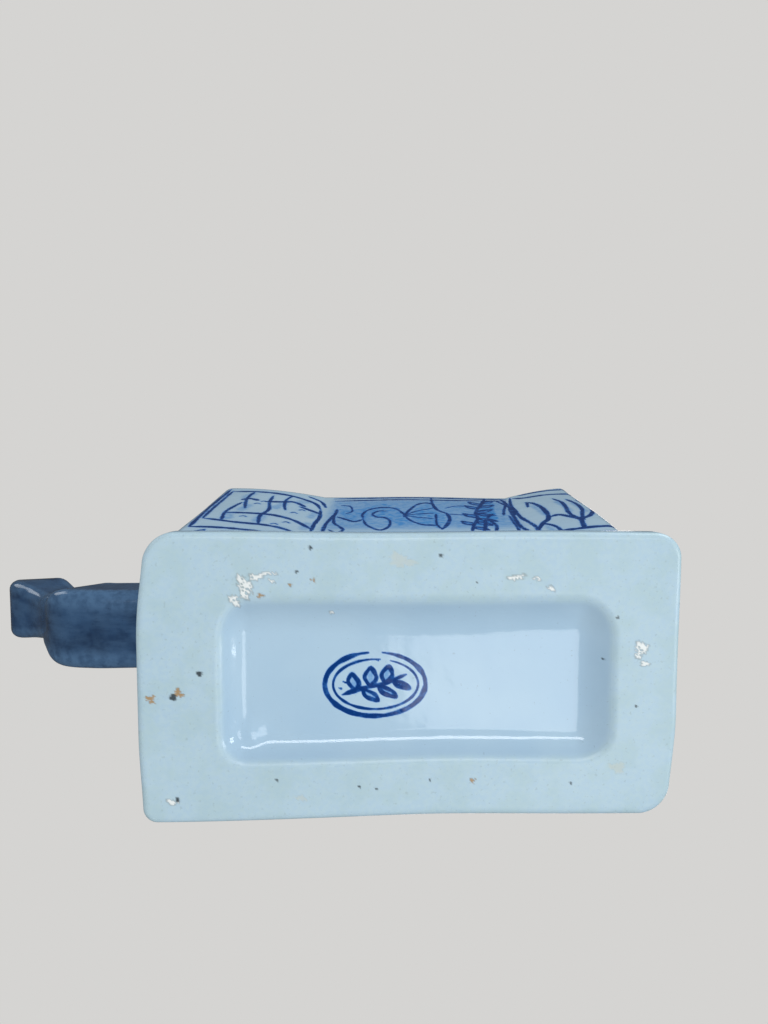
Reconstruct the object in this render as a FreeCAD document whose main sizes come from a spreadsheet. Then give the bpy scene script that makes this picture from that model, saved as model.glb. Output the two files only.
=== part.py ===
"""A small slab-built porcelain teapot: a wide rectangular pot on a foot slab, with a square spout and a loose lid.

Frame: millimetres, +Z up, origin at the centre of the foot's underside.
-X is the spout's end, +X is the handle's end, and -Y is the front.
"""
import FreeCAD, Part
import math
import os
import Sketcher

NODES = (
    "foot_slab", "front_wall", "back_wall", "spout_end_wall", "handle_end_wall", "shoulder_slab",
    "neck_collar", "spout", "handle", "lid_plate", "lid_flange", "lid_knob",
)

# The driving dimensions, in millimetres and degrees: one spreadsheet row each.
DIMENSIONS = (
    ("foot_width", 116.5), ("foot_depth", 64.4), ("foot_height", 10.0),
    ("foot_corner", 6.0), ("foot_edge", 1.6),
    # The hollow under the foot, at its mouth and at its floor.
    ("recess_mid_x", 1.5), ("recess_mid_y", 0.9), ("recess_width", 82.0), ("recess_depth", 35.0),
    ("recess_floor_width", 75.0), ("recess_floor_depth", 26.0), ("recess_high", 4.0), ("recess_corner", 3.0),
    # The four walls stand on the foot and lean outwards. The pot sits a little to the left on its foot.
    ("pot_shift", -1.4), ("wall_thickness", 4.0), ("wall_top", 84.0),
    ("low_half_width", 54.4), ("low_half_depth", 28.1), ("top_half_width", 55.0), ("top_half_depth", 37.0),
    # The sunken middle bay of the front and the back.
    ("bay_sink", 3.2), ("bay_left_low", -21.0), ("bay_left_top", -22.5), ("bay_right_low", 29.5),
    ("bay_right_top", 35.0), ("bay_left_roll", 24.0), ("bay_right_roll", 15.0),
    # The shoulder slopes in from the walls to a flat top, which the mouth pierces.
    ("shoulder_top", 91.0), ("shoulder_half_width", 44.0), ("shoulder_half_depth", 26.0),
    ("shoulder_bay_sink", 1.4),
    ("shoulder_shell", 4.6), ("shoulder_hollow_high", 3.6),
    ("mouth_half_width", 28.0), ("mouth_half_depth", 15.0), ("mouth_corner", 4.0),
    ("collar_wall", 4.0), ("collar_high", 5.0),
    # The lid: a plate on the collar, a flange that drops into the mouth, and a square knob.
    ("lid_overhang", 1.5), ("lid_high", 5.0), ("lid_slope", 4.5), ("lid_crown", 2.4),
    ("flange_gap", 0.8), ("flange_wall", 2.6), ("flange_high", 7.0),
    ("vent_radius", 1.5), ("vent_from_middle", 18.0),
    ("knob_neck_half", 4.6), ("knob_neck_high", 4.5), ("knob_half_width", 9.0), ("knob_half_depth", 7.0),
    ("knob_swell_high", 4.0), ("knob_top_high", 5.0), ("knob_top_half", 5.0),
    # The strainer holes behind the spout.
    ("strainer_radius", 2.2), ("strainer_pitch", 7.0), ("strainer_mid_z", 58.5),
    # The spout and its strainer sit a little towards the back: it was stuck on by hand.
    ("spout_wall", 2.8), ("spout_offset", 1.2),
    # The handle: a squared ear, as wide in Y as handle_width.
    ("handle_width", 17.0), ("handle_foot_low", 33.0), ("handle_foot_high", 44.0), ("handle_head_low", 71.5),
    ("handle_head_high", 83.0), ("handle_heel_x", 67.0), ("handle_heel_z", 37.0), ("handle_back_x", 87.0),
    ("handle_back_z", 80.0), ("handle_grip_x", 74.5), ("handle_grip_z", 71.5), ("handle_inner_x", 63.5),
    ("handle_inner_z", 46.0), ("handle_corner", 5.0), ("handle_inner_corner", 3.0), ("handle_crest", 3.0),
)

# The spout's sections: name, the centre's x and z, which way it points (degrees above -X), half its size in
# the XZ plane, half its size in Y, and its corner radius. The root's x comes from the end wall.
SPOUT_SECTIONS = (
    ("root", 0.0, 58.6, -0.46, 11.2, 11.6, 4.0),
    ("belly", -76.5, 57.4, 2.0, 9.6, 11.2, 4.0),
    ("elbow", -91.6, 58.4, 42.0, 9.4, 10.2, 4.0),
    ("throat", -101.4, 68.6, 52.0, 6.8, 6.9, 2.6),
    ("lip", -115.0, 82.0, 58.0, 9.0, 9.2, 2.2),
    ("tip", -118.0, 88.6, 74.0, 7.2, 8.0, 2.2),
)


def vector(*numbers):
    return FreeCAD.Vector(*numbers)


def make_sheet(document):
    """Fills the spreadsheet: names in column A, numbers in column B, and an alias for each."""
    sheet = document.addObject("Spreadsheet::Sheet", "size")
    rows = list(DIMENSIONS)
    for name, x, z, tilt, half_high, half_wide, corner in SPOUT_SECTIONS:
        keys = ("x", "z", "tilt", "half_high", "half_wide", "corner")
        values = (x, z, tilt, half_high, half_wide, corner)
        rows += [("spout_%s_%s" % (name, key), value) for key, value in zip(keys, values)]
    for row, (alias, number) in enumerate(rows, start=1):
        sheet.set("A%d" % row, alias)
        sheet.set("B%d" % row, str(number))
        sheet.setAlias("B%d" % row, alias)
    document.recompute()
    return sheet


def number_of(thing, expression):
    return float(thing.evalExpression(expression))


def new_body(document, label):
    body = document.addObject("PartDesign::Body", label)
    body.Label = label
    return body


def origin_plane(body, role):
    return [feature for feature in body.Origin.OriginFeatures if feature.Role == role][0]


def new_sketch(body, name, level="0", role="XY_Plane"):
    """Makes a sketch on one of the body's own planes, lifted by the expression level."""
    sketch = body.newObject("Sketcher::SketchObject", name)
    sketch.AttachmentSupport = (origin_plane(body, role), [""])
    sketch.MapMode = "FlatFace"
    sketch.setExpression("AttachmentOffset.Base.z", level)
    return sketch


def pin_point(sketch, curve, point, x, y):
    """Holds a curve's point at the place that two expressions give."""
    for kind, expression in (("DistanceX", x), ("DistanceY", y)):
        value = number_of(sketch, expression)
        index = sketch.addConstraint(Sketcher.Constraint(kind, curve, point, value))
        sketch.setExpression("Constraints[%d]" % index, expression)


def draw_polygon(sketch, corners):
    """Draws a closed polygon whose corners are pairs of expressions."""
    places = [vector(number_of(sketch, x), number_of(sketch, y), 0) for x, y in corners]
    count = len(places)
    lines = []
    for index in range(count):
        segment = Part.LineSegment(places[index], places[(index + 1) % count])
        lines.append(sketch.addGeometry(segment, False))
    for index in range(count):
        following = lines[(index + 1) % count]
        sketch.addConstraint(Sketcher.Constraint("Coincident", lines[index], 2, following, 1))
    for line, (x, y) in zip(lines, corners):
        pin_point(sketch, line, 1, x, y)


def draw_rectangle(sketch, half_x, half_y, corner, middle_x="0", middle_y="0"):
    """Draws a rectangle with rounded corners. All the sizes are expressions."""
    wide = number_of(sketch, half_x)
    deep = number_of(sketch, half_y)
    radius = number_of(sketch, corner)
    mid_x = number_of(sketch, middle_x)
    mid_y = number_of(sketch, middle_y)
    quarters = ((1, 1), (-1, 1), (-1, -1), (1, -1))
    arcs = []
    for turn, (side_x, side_y) in enumerate(quarters):
        centre = vector(mid_x + side_x * (wide - radius), mid_y + side_y * (deep - radius), 0)
        circle = Part.Circle(centre, vector(0, 0, 1), radius)
        arc = Part.ArcOfCircle(circle, turn * math.pi / 2, (turn + 1) * math.pi / 2)
        arcs.append(sketch.addGeometry(arc, False))
    for turn, arc in enumerate(arcs):
        following = arcs[(turn + 1) % 4]
        line = Part.LineSegment(sketch.getPoint(arc, 2), sketch.getPoint(following, 1))
        line = sketch.addGeometry(line, False)
        sketch.addConstraint(Sketcher.Constraint("Tangent", arc, 2, line, 1))
        sketch.addConstraint(Sketcher.Constraint("Tangent", line, 2, following, 1))
    for turn, (side_x, side_y) in enumerate(quarters):
        x = "%s + %d * (%s - (%s))" % (middle_x, side_x, half_x, corner)
        y = "%s + %d * (%s - (%s))" % (middle_y, side_y, half_y, corner)
        pin_point(sketch, arcs[turn], 3, x, y)
    index = sketch.addConstraint(Sketcher.Constraint("Radius", arcs[0], radius))
    sketch.setExpression("Constraints[%d]" % index, corner)


def loft(body, name, sketches, cut=False):
    kind = "PartDesign::SubtractiveLoft" if cut else "PartDesign::AdditiveLoft"
    feature = body.newObject(kind, name)
    feature.Profile = sketches[0]
    feature.Sections = sketches[1:]
    feature.Ruled = True
    return feature


def rounded_loft(body, name, levels, cut=False):
    """Lofts between rounded rectangles, each (height, half_x, half_y, corner, middle_x, middle_y)."""
    sketches = []
    for index, (height, half_x, half_y, corner, middle_x, middle_y) in enumerate(levels):
        sketch = new_sketch(body, "%s_level_%d" % (name, index), height)
        draw_rectangle(sketch, half_x, half_y, corner, middle_x, middle_y)
        sketches.append(sketch)
    return loft(body, name, sketches, cut)


def edge_names(shape, wanted):
    return ["Edge%d" % (index + 1) for index, edge in enumerate(shape.Edges) if wanted(edge)]


def is_flat_at(edge, height):
    return abs(edge.BoundBox.ZMin - height) < 1e-6 and abs(edge.BoundBox.ZMax - height) < 1e-6


def fillet(body, name, base, wanted, radius):
    feature = body.newObject("PartDesign::Fillet", name)
    feature.Base = (base, edge_names(base.Shape, wanted))
    feature.setExpression("Radius", radius)
    return feature


def build_foot(document):
    """The foot slab: rounded corners, softened edges, and a hollow with sloping walls underneath."""
    body = new_body(document, "foot_slab")
    half_x = "size.foot_width / 2"
    half_y = "size.foot_depth / 2"
    outline = new_sketch(body, "foot_outline")
    draw_rectangle(outline, half_x, half_y, "size.foot_corner")
    slab = body.newObject("PartDesign::Pad", "foot_pad")
    slab.Profile = outline
    slab.setExpression("Length", "size.foot_height")
    document.recompute()
    height = number_of(body, "size.foot_height")

    def is_rim(edge):
        return is_flat_at(edge, 0) or is_flat_at(edge, height)

    softened = fillet(body, "foot_soft_edges", slab, is_rim, "size.foot_edge")
    document.recompute()
    place = ("size.recess_corner", "size.recess_mid_x", "size.recess_mid_y")
    solid_volume = softened.Shape.Volume
    rounded_loft(body, "recess", (
        ("0", "size.recess_width / 2", "size.recess_depth / 2") + place,
        ("size.recess_high", "size.recess_floor_width / 2", "size.recess_floor_depth / 2") + place,
    ), cut=True)
    document.recompute()
    assert body.Shape.Volume < solid_volume - 1000, "the recess cuts nothing"
    return body


def wall_face(level, side, inset):
    """The face line of the front (side -1) or the back (side 1), from -X to +X, moved inwards by inset."""
    flat = "%d * (size.%s_half_depth - %s)" % (side, level, inset)
    sunk = "%d * (size.%s_half_depth - size.bay_sink - %s)" % (side, level, inset)
    left = "size.bay_left_%s" % level
    right = "size.bay_right_%s" % level
    return (
        ("size.pot_shift - size.%s_half_width" % level, flat),
        ("size.pot_shift + %s - size.bay_left_roll" % left, flat),
        ("size.pot_shift + " + left, sunk),
        ("size.pot_shift + " + right, sunk),
        ("size.pot_shift + %s + size.bay_right_roll" % right, flat),
        ("size.pot_shift + size.%s_half_width" % level, flat),
    )


def build_long_wall(document, label, side):
    """The front or the back wall: a three-bay slab that leans outwards."""
    body = new_body(document, label)
    sketches = []
    for level, height in (("low", "size.foot_height"), ("top", "size.wall_top")):
        sketch = new_sketch(body, "%s_%s" % (label, level), height)
        outer = wall_face(level, side, "0")
        inner = wall_face(level, side, "size.wall_thickness")
        draw_polygon(sketch, outer + tuple(reversed(inner)))
        sketches.append(sketch)
    loft(body, label + "_slab", sketches)
    return body


def build_end_wall(document, label, side):
    """An end wall, which stands between the inner faces of the front and the back."""
    body = new_body(document, label)
    sketches = []
    for level, height in (("low", "size.foot_height"), ("top", "size.wall_top")):
        sketch = new_sketch(body, "%s_%s" % (label, level), height)
        outside = "size.pot_shift + %d * size.%s_half_width" % (side, level)
        inside = "size.pot_shift + %d * (size.%s_half_width - size.wall_thickness)" % (side, level)
        reach = "(size.%s_half_depth - size.wall_thickness)" % level
        front = "-" + reach
        draw_polygon(sketch, ((outside, front), (inside, front), (inside, reach), (outside, reach)))
        sketches.append(sketch)
    loft(body, label + "_slab", sketches)
    return body


def pierce_strainer(document, body):
    """Cuts the ring of strainer holes, and one in the middle, through the wall behind the spout."""
    document.recompute()
    solid_volume = body.Shape.Volume
    sketch = new_sketch(body, "strainer_holes", "0", "YZ_Plane")
    places = [("size.spout_offset", "size.strainer_mid_z")]
    for turn in range(6):
        y = "size.spout_offset + size.strainer_pitch * cos(%d)" % (60 * turn)
        z = "size.strainer_mid_z + size.strainer_pitch * sin(%d)" % (60 * turn)
        places.append((y, z))
    radius = number_of(sketch, "size.strainer_radius")
    for y, z in places:
        centre = vector(number_of(sketch, y), number_of(sketch, z), 0)
        hole = sketch.addGeometry(Part.Circle(centre, vector(0, 0, 1), radius), False)
        pin_point(sketch, hole, 3, y, z)
        index = sketch.addConstraint(Sketcher.Constraint("Radius", hole, radius))
        sketch.setExpression("Constraints[%d]" % index, "size.strainer_radius")
    holes = body.newObject("PartDesign::Pocket", "strainer")
    holes.Profile = sketch
    holes.Type = "ThroughAll"
    holes.Midplane = True
    document.recompute()
    assert body.Shape.Volume < solid_volume - 300, "the strainer holes cut nothing"


def build_shoulder(document):
    """The shoulder slab: its edge follows the three bays, its top is flat, and the mouth goes through it."""
    body = new_body(document, "shoulder_slab")
    low = new_sketch(body, "shoulder_low", "size.wall_top")
    draw_polygon(low, wall_face("top", -1, "0") + tuple(reversed(wall_face("top", 1, "0"))))
    shrink = "size.shoulder_half_width / size.top_half_width"
    flat = "size.shoulder_half_depth"
    sunk = "(size.shoulder_half_depth - size.shoulder_bay_sink)"
    line = (
        ("size.pot_shift - size.shoulder_half_width", flat),
        ("size.pot_shift + (size.bay_left_top - size.bay_left_roll) * " + shrink, flat),
        ("size.pot_shift + size.bay_left_top * " + shrink, sunk),
        ("size.pot_shift + size.bay_right_top * " + shrink, sunk),
        ("size.pot_shift + (size.bay_right_top + size.bay_right_roll) * " + shrink, flat),
        ("size.pot_shift + size.shoulder_half_width", flat),
    )
    high = new_sketch(body, "shoulder_high", "size.shoulder_top")
    draw_polygon(high, tuple((x, "-" + y) for x, y in line) + tuple(reversed(line)))
    loft(body, "shoulder_slope", [low, high])
    document.recompute()
    solid_volume = body.Shape.Volume
    rounded_loft(body, "shoulder_hollow", (
        ("size.wall_top", "size.top_half_width - size.shoulder_shell",
         "size.top_half_depth - size.bay_sink - size.shoulder_shell", "3", "size.pot_shift", "0"),
        ("size.wall_top + size.shoulder_hollow_high", "size.shoulder_half_width - size.shoulder_shell",
         "size.shoulder_half_depth - size.shoulder_shell", "3", "size.pot_shift", "0"),
    ), cut=True)
    mouth = ("size.mouth_half_width", "size.mouth_half_depth", "size.mouth_corner", "size.pot_shift", "0")
    rounded_loft(body, "mouth", (("size.wall_top - 1",) + mouth, ("size.shoulder_top + 1",) + mouth), cut=True)
    document.recompute()
    assert body.Shape.Volume < solid_volume - 5000, "the shoulder is not hollow"
    return body


def build_collar(document):
    """The low collar round the mouth, which the lid rests on."""
    body = new_body(document, "neck_collar")
    top = "size.shoulder_top + size.collar_high"
    outer = ("size.mouth_half_width + size.collar_wall", "size.mouth_half_depth + size.collar_wall",
             "size.mouth_corner + size.collar_wall", "size.pot_shift", "0")
    inner = ("size.mouth_half_width", "size.mouth_half_depth", "size.mouth_corner", "size.pot_shift", "0")
    rounded_loft(body, "collar_outside", (("size.shoulder_top",) + outer, (top,) + outer))
    rounded_loft(body, "collar_inside", (("size.shoulder_top - 1",) + inner, (top + " + 1",) + inner), cut=True)
    return body


def build_lid_plate(document):
    """The lid's plate, with sloping sides and the steam vent."""
    body = new_body(document, "lid_plate")
    base = "size.shoulder_top + size.collar_high"
    reach = "size.collar_wall + size.lid_overhang"
    half_x = "size.mouth_half_width + " + reach
    half_y = "size.mouth_half_depth + " + reach
    corner = "size.mouth_corner + " + reach
    rounded_loft(body, "lid_side", (
        (base, half_x, half_y, corner, "size.pot_shift", "0"),
        (base + " + size.lid_crown", half_x, half_y, corner, "size.pot_shift", "0"),
        (base + " + size.lid_high", half_x + " - size.lid_slope", half_y + " - size.lid_slope",
         corner + " - size.lid_slope", "size.pot_shift", "0"),
    ))
    document.recompute()
    solid_volume = body.Shape.Volume
    sketch = new_sketch(body, "vent_circle", base)
    middle = "size.pot_shift + size.vent_from_middle"
    radius = number_of(sketch, "size.vent_radius")
    vent_place = vector(number_of(sketch, middle), 0, 0)
    circle = sketch.addGeometry(Part.Circle(vent_place, vector(0, 0, 1), radius), False)
    pin_point(sketch, circle, 3, middle, "0")
    index = sketch.addConstraint(Sketcher.Constraint("Radius", circle, radius))
    sketch.setExpression("Constraints[%d]" % index, "size.vent_radius")
    vent = body.newObject("PartDesign::Pocket", "vent")
    vent.Profile = sketch
    vent.Type = "ThroughAll"
    vent.Midplane = True
    document.recompute()
    assert body.Shape.Volume < solid_volume - 20, "the vent cuts nothing"
    return body


def build_lid_flange(document):
    """The flange under the lid, which keeps it in the mouth."""
    body = new_body(document, "lid_flange")
    top = "size.shoulder_top + size.collar_high"
    low = top + " - size.flange_high"

    def ring(inset):
        half_x = "size.mouth_half_width - " + inset
        half_y = "size.mouth_half_depth - " + inset
        return (half_x, half_y, "size.mouth_corner", "size.pot_shift", "0")

    outer = ring("size.flange_gap")
    inner = ring("(size.flange_gap + size.flange_wall)")
    rounded_loft(body, "flange_outside", ((low,) + outer, (top,) + outer))
    rounded_loft(body, "flange_inside", ((low + " - 1",) + inner, (top + " + 1",) + inner), cut=True)
    return body


def build_knob(document):
    """The square knob: a neck, a swelling block, and a sloping top."""
    body = new_body(document, "lid_knob")
    base = "size.shoulder_top + size.collar_high + size.lid_high"
    neck_top = base + " + size.knob_neck_high"
    widest = neck_top + " + size.knob_swell_high"
    shift = ("size.pot_shift", "0")
    rounded_loft(body, "knob_block", (
        (base, "size.knob_neck_half + 1", "size.knob_neck_half", "1.5") + shift,
        (neck_top, "size.knob_neck_half", "size.knob_neck_half - 0.6", "1.5") + shift,
        (widest, "size.knob_half_width", "size.knob_half_depth", "1.5") + shift,
        (widest + " + size.knob_top_high", "size.knob_top_half + 1", "size.knob_top_half - 1", "1.5") + shift,
    ))
    return body


def spout_skin(document, label, shrink):
    """A loft through the spout's sections, each smaller all round by the expression shrink."""
    sketches = []
    for name, *_ in SPOUT_SECTIONS:
        alias = "size.spout_%s_" % name
        sketch = document.addObject("Sketcher::SketchObject", "%s_%s" % (label, name))
        draw_rectangle(sketch, alias + "half_wide - " + shrink, alias + "half_high - " + shrink,
                       "max(0.6; %scorner - %s)" % (alias, shrink))
        tilt = math.radians(number_of(sketch, alias + "tilt"))
        forward = vector(-math.cos(tilt), 0, math.sin(tilt))
        across = vector(0, 1, 0)
        turn = FreeCAD.Rotation(across, forward.cross(across), forward, "ZXY")
        sketch.Placement = FreeCAD.Placement(vector(), turn)
        centre_x = alias + "x"
        if name == "root":
            lean = "(size.top_half_width - size.low_half_width) / (size.wall_top - size.foot_height)"
            centre_x = "size.pot_shift - size.low_half_width - (%sz - size.foot_height) * %s" % (alias, lean)
        sketch.setExpression("Placement.Base.x", centre_x)
        sketch.setExpression("Placement.Base.y", "size.spout_offset")
        sketch.setExpression("Placement.Base.z", alias + "z")
        sketches.append(sketch)
    skin = document.addObject("Part::Loft", label)
    skin.Sections = sketches
    skin.Solid = True
    skin.Ruled = True
    return skin


def build_spout(document):
    """The square spout: it leaves the end wall level, turns up, narrows to a throat and opens to a lip."""
    outside = spout_skin(document, "spout_outside", "0")
    channel = spout_skin(document, "spout_channel", "size.spout_wall")
    spout = document.addObject("Part::Cut", "spout")
    spout.Base = outside
    spout.Tool = channel
    spout.Label = "spout"
    return spout


def build_handle(document):
    """The handle: a squared ear that leans out towards its top, cut from one thick slab."""
    body = new_body(document, "handle")
    sketch = new_sketch(body, "handle_outline", "0", "XZ_Plane")
    lean = "(size.top_half_width - size.low_half_width) / (size.wall_top - size.foot_height)"

    def on_wall(height):
        x = "size.pot_shift + size.low_half_width + (%s - size.foot_height) * %s" % (height, lean)
        return (x, height)

    draw_polygon(sketch, (
        on_wall("size.handle_foot_low"), ("size.handle_heel_x", "size.handle_heel_z"),
        ("size.handle_back_x", "size.handle_back_z"),
        ("size.handle_back_x - size.handle_crest", "size.handle_head_high"),
        on_wall("size.handle_head_high"), on_wall("size.handle_head_low"),
        ("size.handle_grip_x", "size.handle_grip_z"), ("size.handle_inner_x", "size.handle_inner_z"),
        on_wall("size.handle_foot_high"),
    ))
    pad = body.newObject("PartDesign::Pad", "handle_pad")
    pad.Profile = sketch
    pad.Midplane = True
    pad.setExpression("Length", "size.handle_width")
    document.recompute()

    def crosses_at(x, z):
        place_x = number_of(body, x)
        place_z = number_of(body, z)

        def wanted(edge):
            box = edge.BoundBox
            return box.YLength > 5 and abs(box.XMin - place_x) < 0.01 and abs(box.ZMin - place_z) < 0.01

        return wanted

    at_heel = crosses_at("size.handle_heel_x", "size.handle_heel_z")
    heel = fillet(body, "handle_heel", pad, at_heel, "size.handle_corner")
    document.recompute()
    at_grip = crosses_at("size.handle_grip_x", "size.handle_grip_z")
    fillet(body, "handle_grip", heel, at_grip, "size.handle_inner_corner")
    return body


def check(document):
    """Stops if an object has failed, or if a sub-part is not one valid solid."""
    failed = [item.Name for item in document.Objects if {"Invalid", "Error"} & set(item.State)]
    assert not failed, "failed objects: %s" % failed
    for label in NODES:
        shape = document.getObjectsByLabel(label)[0].Shape
        assert not shape.isNull() and shape.isValid(), label + " is not valid"
        assert len(shape.Solids) == 1 and shape.Volume > 0, label + " is not one solid"


def main():
    document = FreeCAD.newDocument("teapot")
    make_sheet(document)
    build_foot(document)
    build_long_wall(document, "front_wall", -1)
    build_long_wall(document, "back_wall", 1)
    pierce_strainer(document, build_end_wall(document, "spout_end_wall", -1))
    build_end_wall(document, "handle_end_wall", 1)
    build_shoulder(document)
    build_collar(document)
    build_lid_plate(document)
    build_lid_flange(document)
    build_knob(document)
    build_spout(document)
    build_handle(document)
    document.recompute()
    check(document)
    os.makedirs("parts", exist_ok=True)
    for label in NODES:
        shape = document.getObjectsByLabel(label)[0].Shape
        shape.exportStep("parts/%s.step" % label)
        print(label, round(shape.Volume / 1000, 2), "cm3", shape.BoundBox)


main()
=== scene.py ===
import math

import bpy
import numpy as np
from mathutils import Matrix, Vector


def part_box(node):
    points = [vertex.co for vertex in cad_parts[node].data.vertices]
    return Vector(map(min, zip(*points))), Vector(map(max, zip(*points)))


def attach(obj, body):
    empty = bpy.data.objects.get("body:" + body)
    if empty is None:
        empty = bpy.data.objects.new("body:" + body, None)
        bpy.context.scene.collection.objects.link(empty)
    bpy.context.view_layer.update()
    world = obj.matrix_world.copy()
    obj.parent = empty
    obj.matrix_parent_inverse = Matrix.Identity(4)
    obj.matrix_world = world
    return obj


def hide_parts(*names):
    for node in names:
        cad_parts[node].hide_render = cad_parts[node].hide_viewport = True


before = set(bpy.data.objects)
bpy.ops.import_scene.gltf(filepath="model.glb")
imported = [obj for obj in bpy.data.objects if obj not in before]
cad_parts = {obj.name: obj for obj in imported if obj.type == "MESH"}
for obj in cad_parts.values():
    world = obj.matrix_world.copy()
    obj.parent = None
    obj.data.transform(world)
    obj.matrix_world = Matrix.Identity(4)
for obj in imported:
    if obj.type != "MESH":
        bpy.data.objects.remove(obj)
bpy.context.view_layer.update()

MM = 0.001
random = np.random.default_rng(11)

# ---------- sizes, in millimetres, in the part's own frame
def box_of(node):
    """The low and the high corner of a node of the frame."""
    return [np.array(corner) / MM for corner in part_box(node)]


foot_low, foot_high = box_of("foot_slab")
wall_low, wall_high = box_of("front_wall")
spout_low, spout_high = box_of("spout")

POT_X = (wall_low[0] + wall_high[0]) / 2
Z_FOOT = wall_low[2]
Z_WALL = wall_high[2]
# How thick the walls are, the radius of their upright corners, and how far the middle bay is sunk.
WALL = 4.0
CORNER = 3.2
BAY_SINK = 3.2
# The walls are this much further apart at the top, and this much room is kept for their unevenness.
LEAN_X = 0.6
LEAN_Y = 8.9
WARP_ROOM = 0.36
TOP_HALF_X = (wall_high[0] - wall_low[0]) / 2
TOP_HALF_Y = -wall_low[1] - WARP_ROOM
LOW_HALF_X = TOP_HALF_X - LEAN_X
LOW_HALF_Y = TOP_HALF_Y - LEAN_Y
# Where the bay begins on the left and ends on the right, at the foot and at the top, and its slopes' widths.
BAY_LEFT = (-21.0, -22.5)
BAY_RIGHT = (29.5, 35.0)
BAY_FALL = 30.0
BAY_RISE = 19.0
# The distance between the points of a painted wall.
FINE = 0.36
# The middle of the spout and its strainer holes, and the holes' radius and spacing.
SPOUT_Y = (spout_low[1] + spout_high[1]) / 2
STRAINER_Z = 58.5
STRAINER_RADIUS = 2.2
STRAINER_PITCH = 7.0


def smooth(x):
    """The 0 to 1 step with level ends."""
    x = np.clip(x, 0, 1)
    return x * x * (3 - 2 * x)


def mix(a, b, share):
    return a + (b - a) * share


def level_share(z):
    return (z - Z_FOOT) / (Z_WALL - Z_FOOT)


def half_sizes(z):
    share = level_share(z)
    return mix(LOW_HALF_X, TOP_HALF_X, share), mix(LOW_HALF_Y, TOP_HALF_Y, share)


def bay_depth(x, z):
    """How far the face is sunk at x from the pot's middle: 0 on the side panels and 1 in the middle bay."""
    share = level_share(z)
    left = mix(*BAY_LEFT, share)
    right = mix(*BAY_RIGHT, share)
    fall = np.clip((x - left + BAY_FALL) / BAY_FALL, 0, 1) ** 1.75
    rise = np.clip((right + BAY_RISE - x) / BAY_RISE, 0, 1) ** 1.6
    return np.minimum(fall, rise)


def warp(points):
    """The small unevenness of a hand-pressed slab: a slow push that is the same for every piece."""
    x, y, z = points[..., 0], points[..., 1], points[..., 2]
    push_x = 0.22 * np.sin(y * 0.07 + z * 0.045 + 0.6) + 0.12 * np.sin(z * 0.13 + 2.0)
    push_y = 0.24 * np.sin(x * 0.052 + z * 0.06) + 0.10 * np.sin(x * 0.13 - z * 0.04 + 1.0)
    fade = smooth(z / 8.0)
    out = points.copy()
    out[..., 0] += push_x * fade
    out[..., 1] += push_y * fade
    return out


def lengths_along(points):
    """How far each point is along the run of points, from 0."""
    return np.concatenate([[0], np.cumsum(np.linalg.norm(np.diff(points, axis=0), axis=1))])


# ---------- meshes from grids of points
class Mesh:
    """Collects vertices and faces, and builds a mesh object from them."""

    def __init__(self):
        self.points = []
        self.faces = []
        self.count = 0

    def add(self, points):
        points = np.asarray(points, float).reshape(-1, 3)
        start = self.count
        self.points.append(points)
        self.count += len(points)
        return start

    def quads(self, index, flip=False):
        """Quads over a two-way table of vertex numbers."""
        a, b, e, d = index[:-1, :-1], index[:-1, 1:], index[1:, 1:], index[1:, :-1]
        order = (a, d, e, b) if flip else (a, b, e, d)
        self.faces.append(np.stack(order, -1).reshape(-1, 4))

    def zip_chains(self, first, second, flip=False):
        """Triangles between two chains of vertices that run side by side."""
        points = np.concatenate(self.points)

        def places(chain):
            run = lengths_along(points[chain])
            return run / max(run[-1], 1e-9)

        ta, tb = places(first), places(second)
        i = j = 0
        triangles = []
        while i < len(first) - 1 or j < len(second) - 1:
            if j >= len(second) - 1 or (i < len(first) - 1 and ta[i + 1] <= tb[j + 1]):
                triangles.append((first[i], first[i + 1], second[j]))
                i += 1
            else:
                triangles.append((first[i], second[j + 1], second[j]))
                j += 1
        triangles = np.array([corners for corners in triangles if len(set(corners)) == 3])
        self.faces.append(triangles[:, ::-1] if flip else triangles)

    def fan(self, loop, middle, flip=False):
        """Closes a loop with triangles to a middle point."""
        centre = self.add([middle])
        following = np.roll(loop, -1)
        triangles = np.stack([loop, following, np.full(len(loop), centre)], -1)
        self.faces.append(triangles[:, ::-1] if flip else triangles)

    def build(self, name, sharp=50):
        mesh = bpy.data.meshes.new(name)
        points = np.concatenate(self.points)
        loops = np.concatenate([faces.ravel() for faces in self.faces])
        sizes = np.concatenate([np.full(len(faces), faces.shape[1]) for faces in self.faces])
        starts = np.concatenate([[0], np.cumsum(sizes)[:-1]])
        mesh.vertices.add(len(points))
        mesh.vertices.foreach_set("co", (points * MM).astype(np.float32).ravel())
        mesh.loops.add(len(loops))
        mesh.loops.foreach_set("vertex_index", loops.astype(np.int32))
        mesh.polygons.add(len(sizes))
        mesh.polygons.foreach_set("loop_start", starts.astype(np.int32))
        mesh.polygons.foreach_set("use_smooth", np.ones(len(sizes), bool))
        mesh.update(calc_edges=True)
        mesh.validate()
        mesh.set_sharp_from_angle(angle=math.radians(sharp))
        thing = bpy.data.objects.new(name, mesh)
        bpy.context.scene.collection.objects.link(thing)
        return thing


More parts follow.
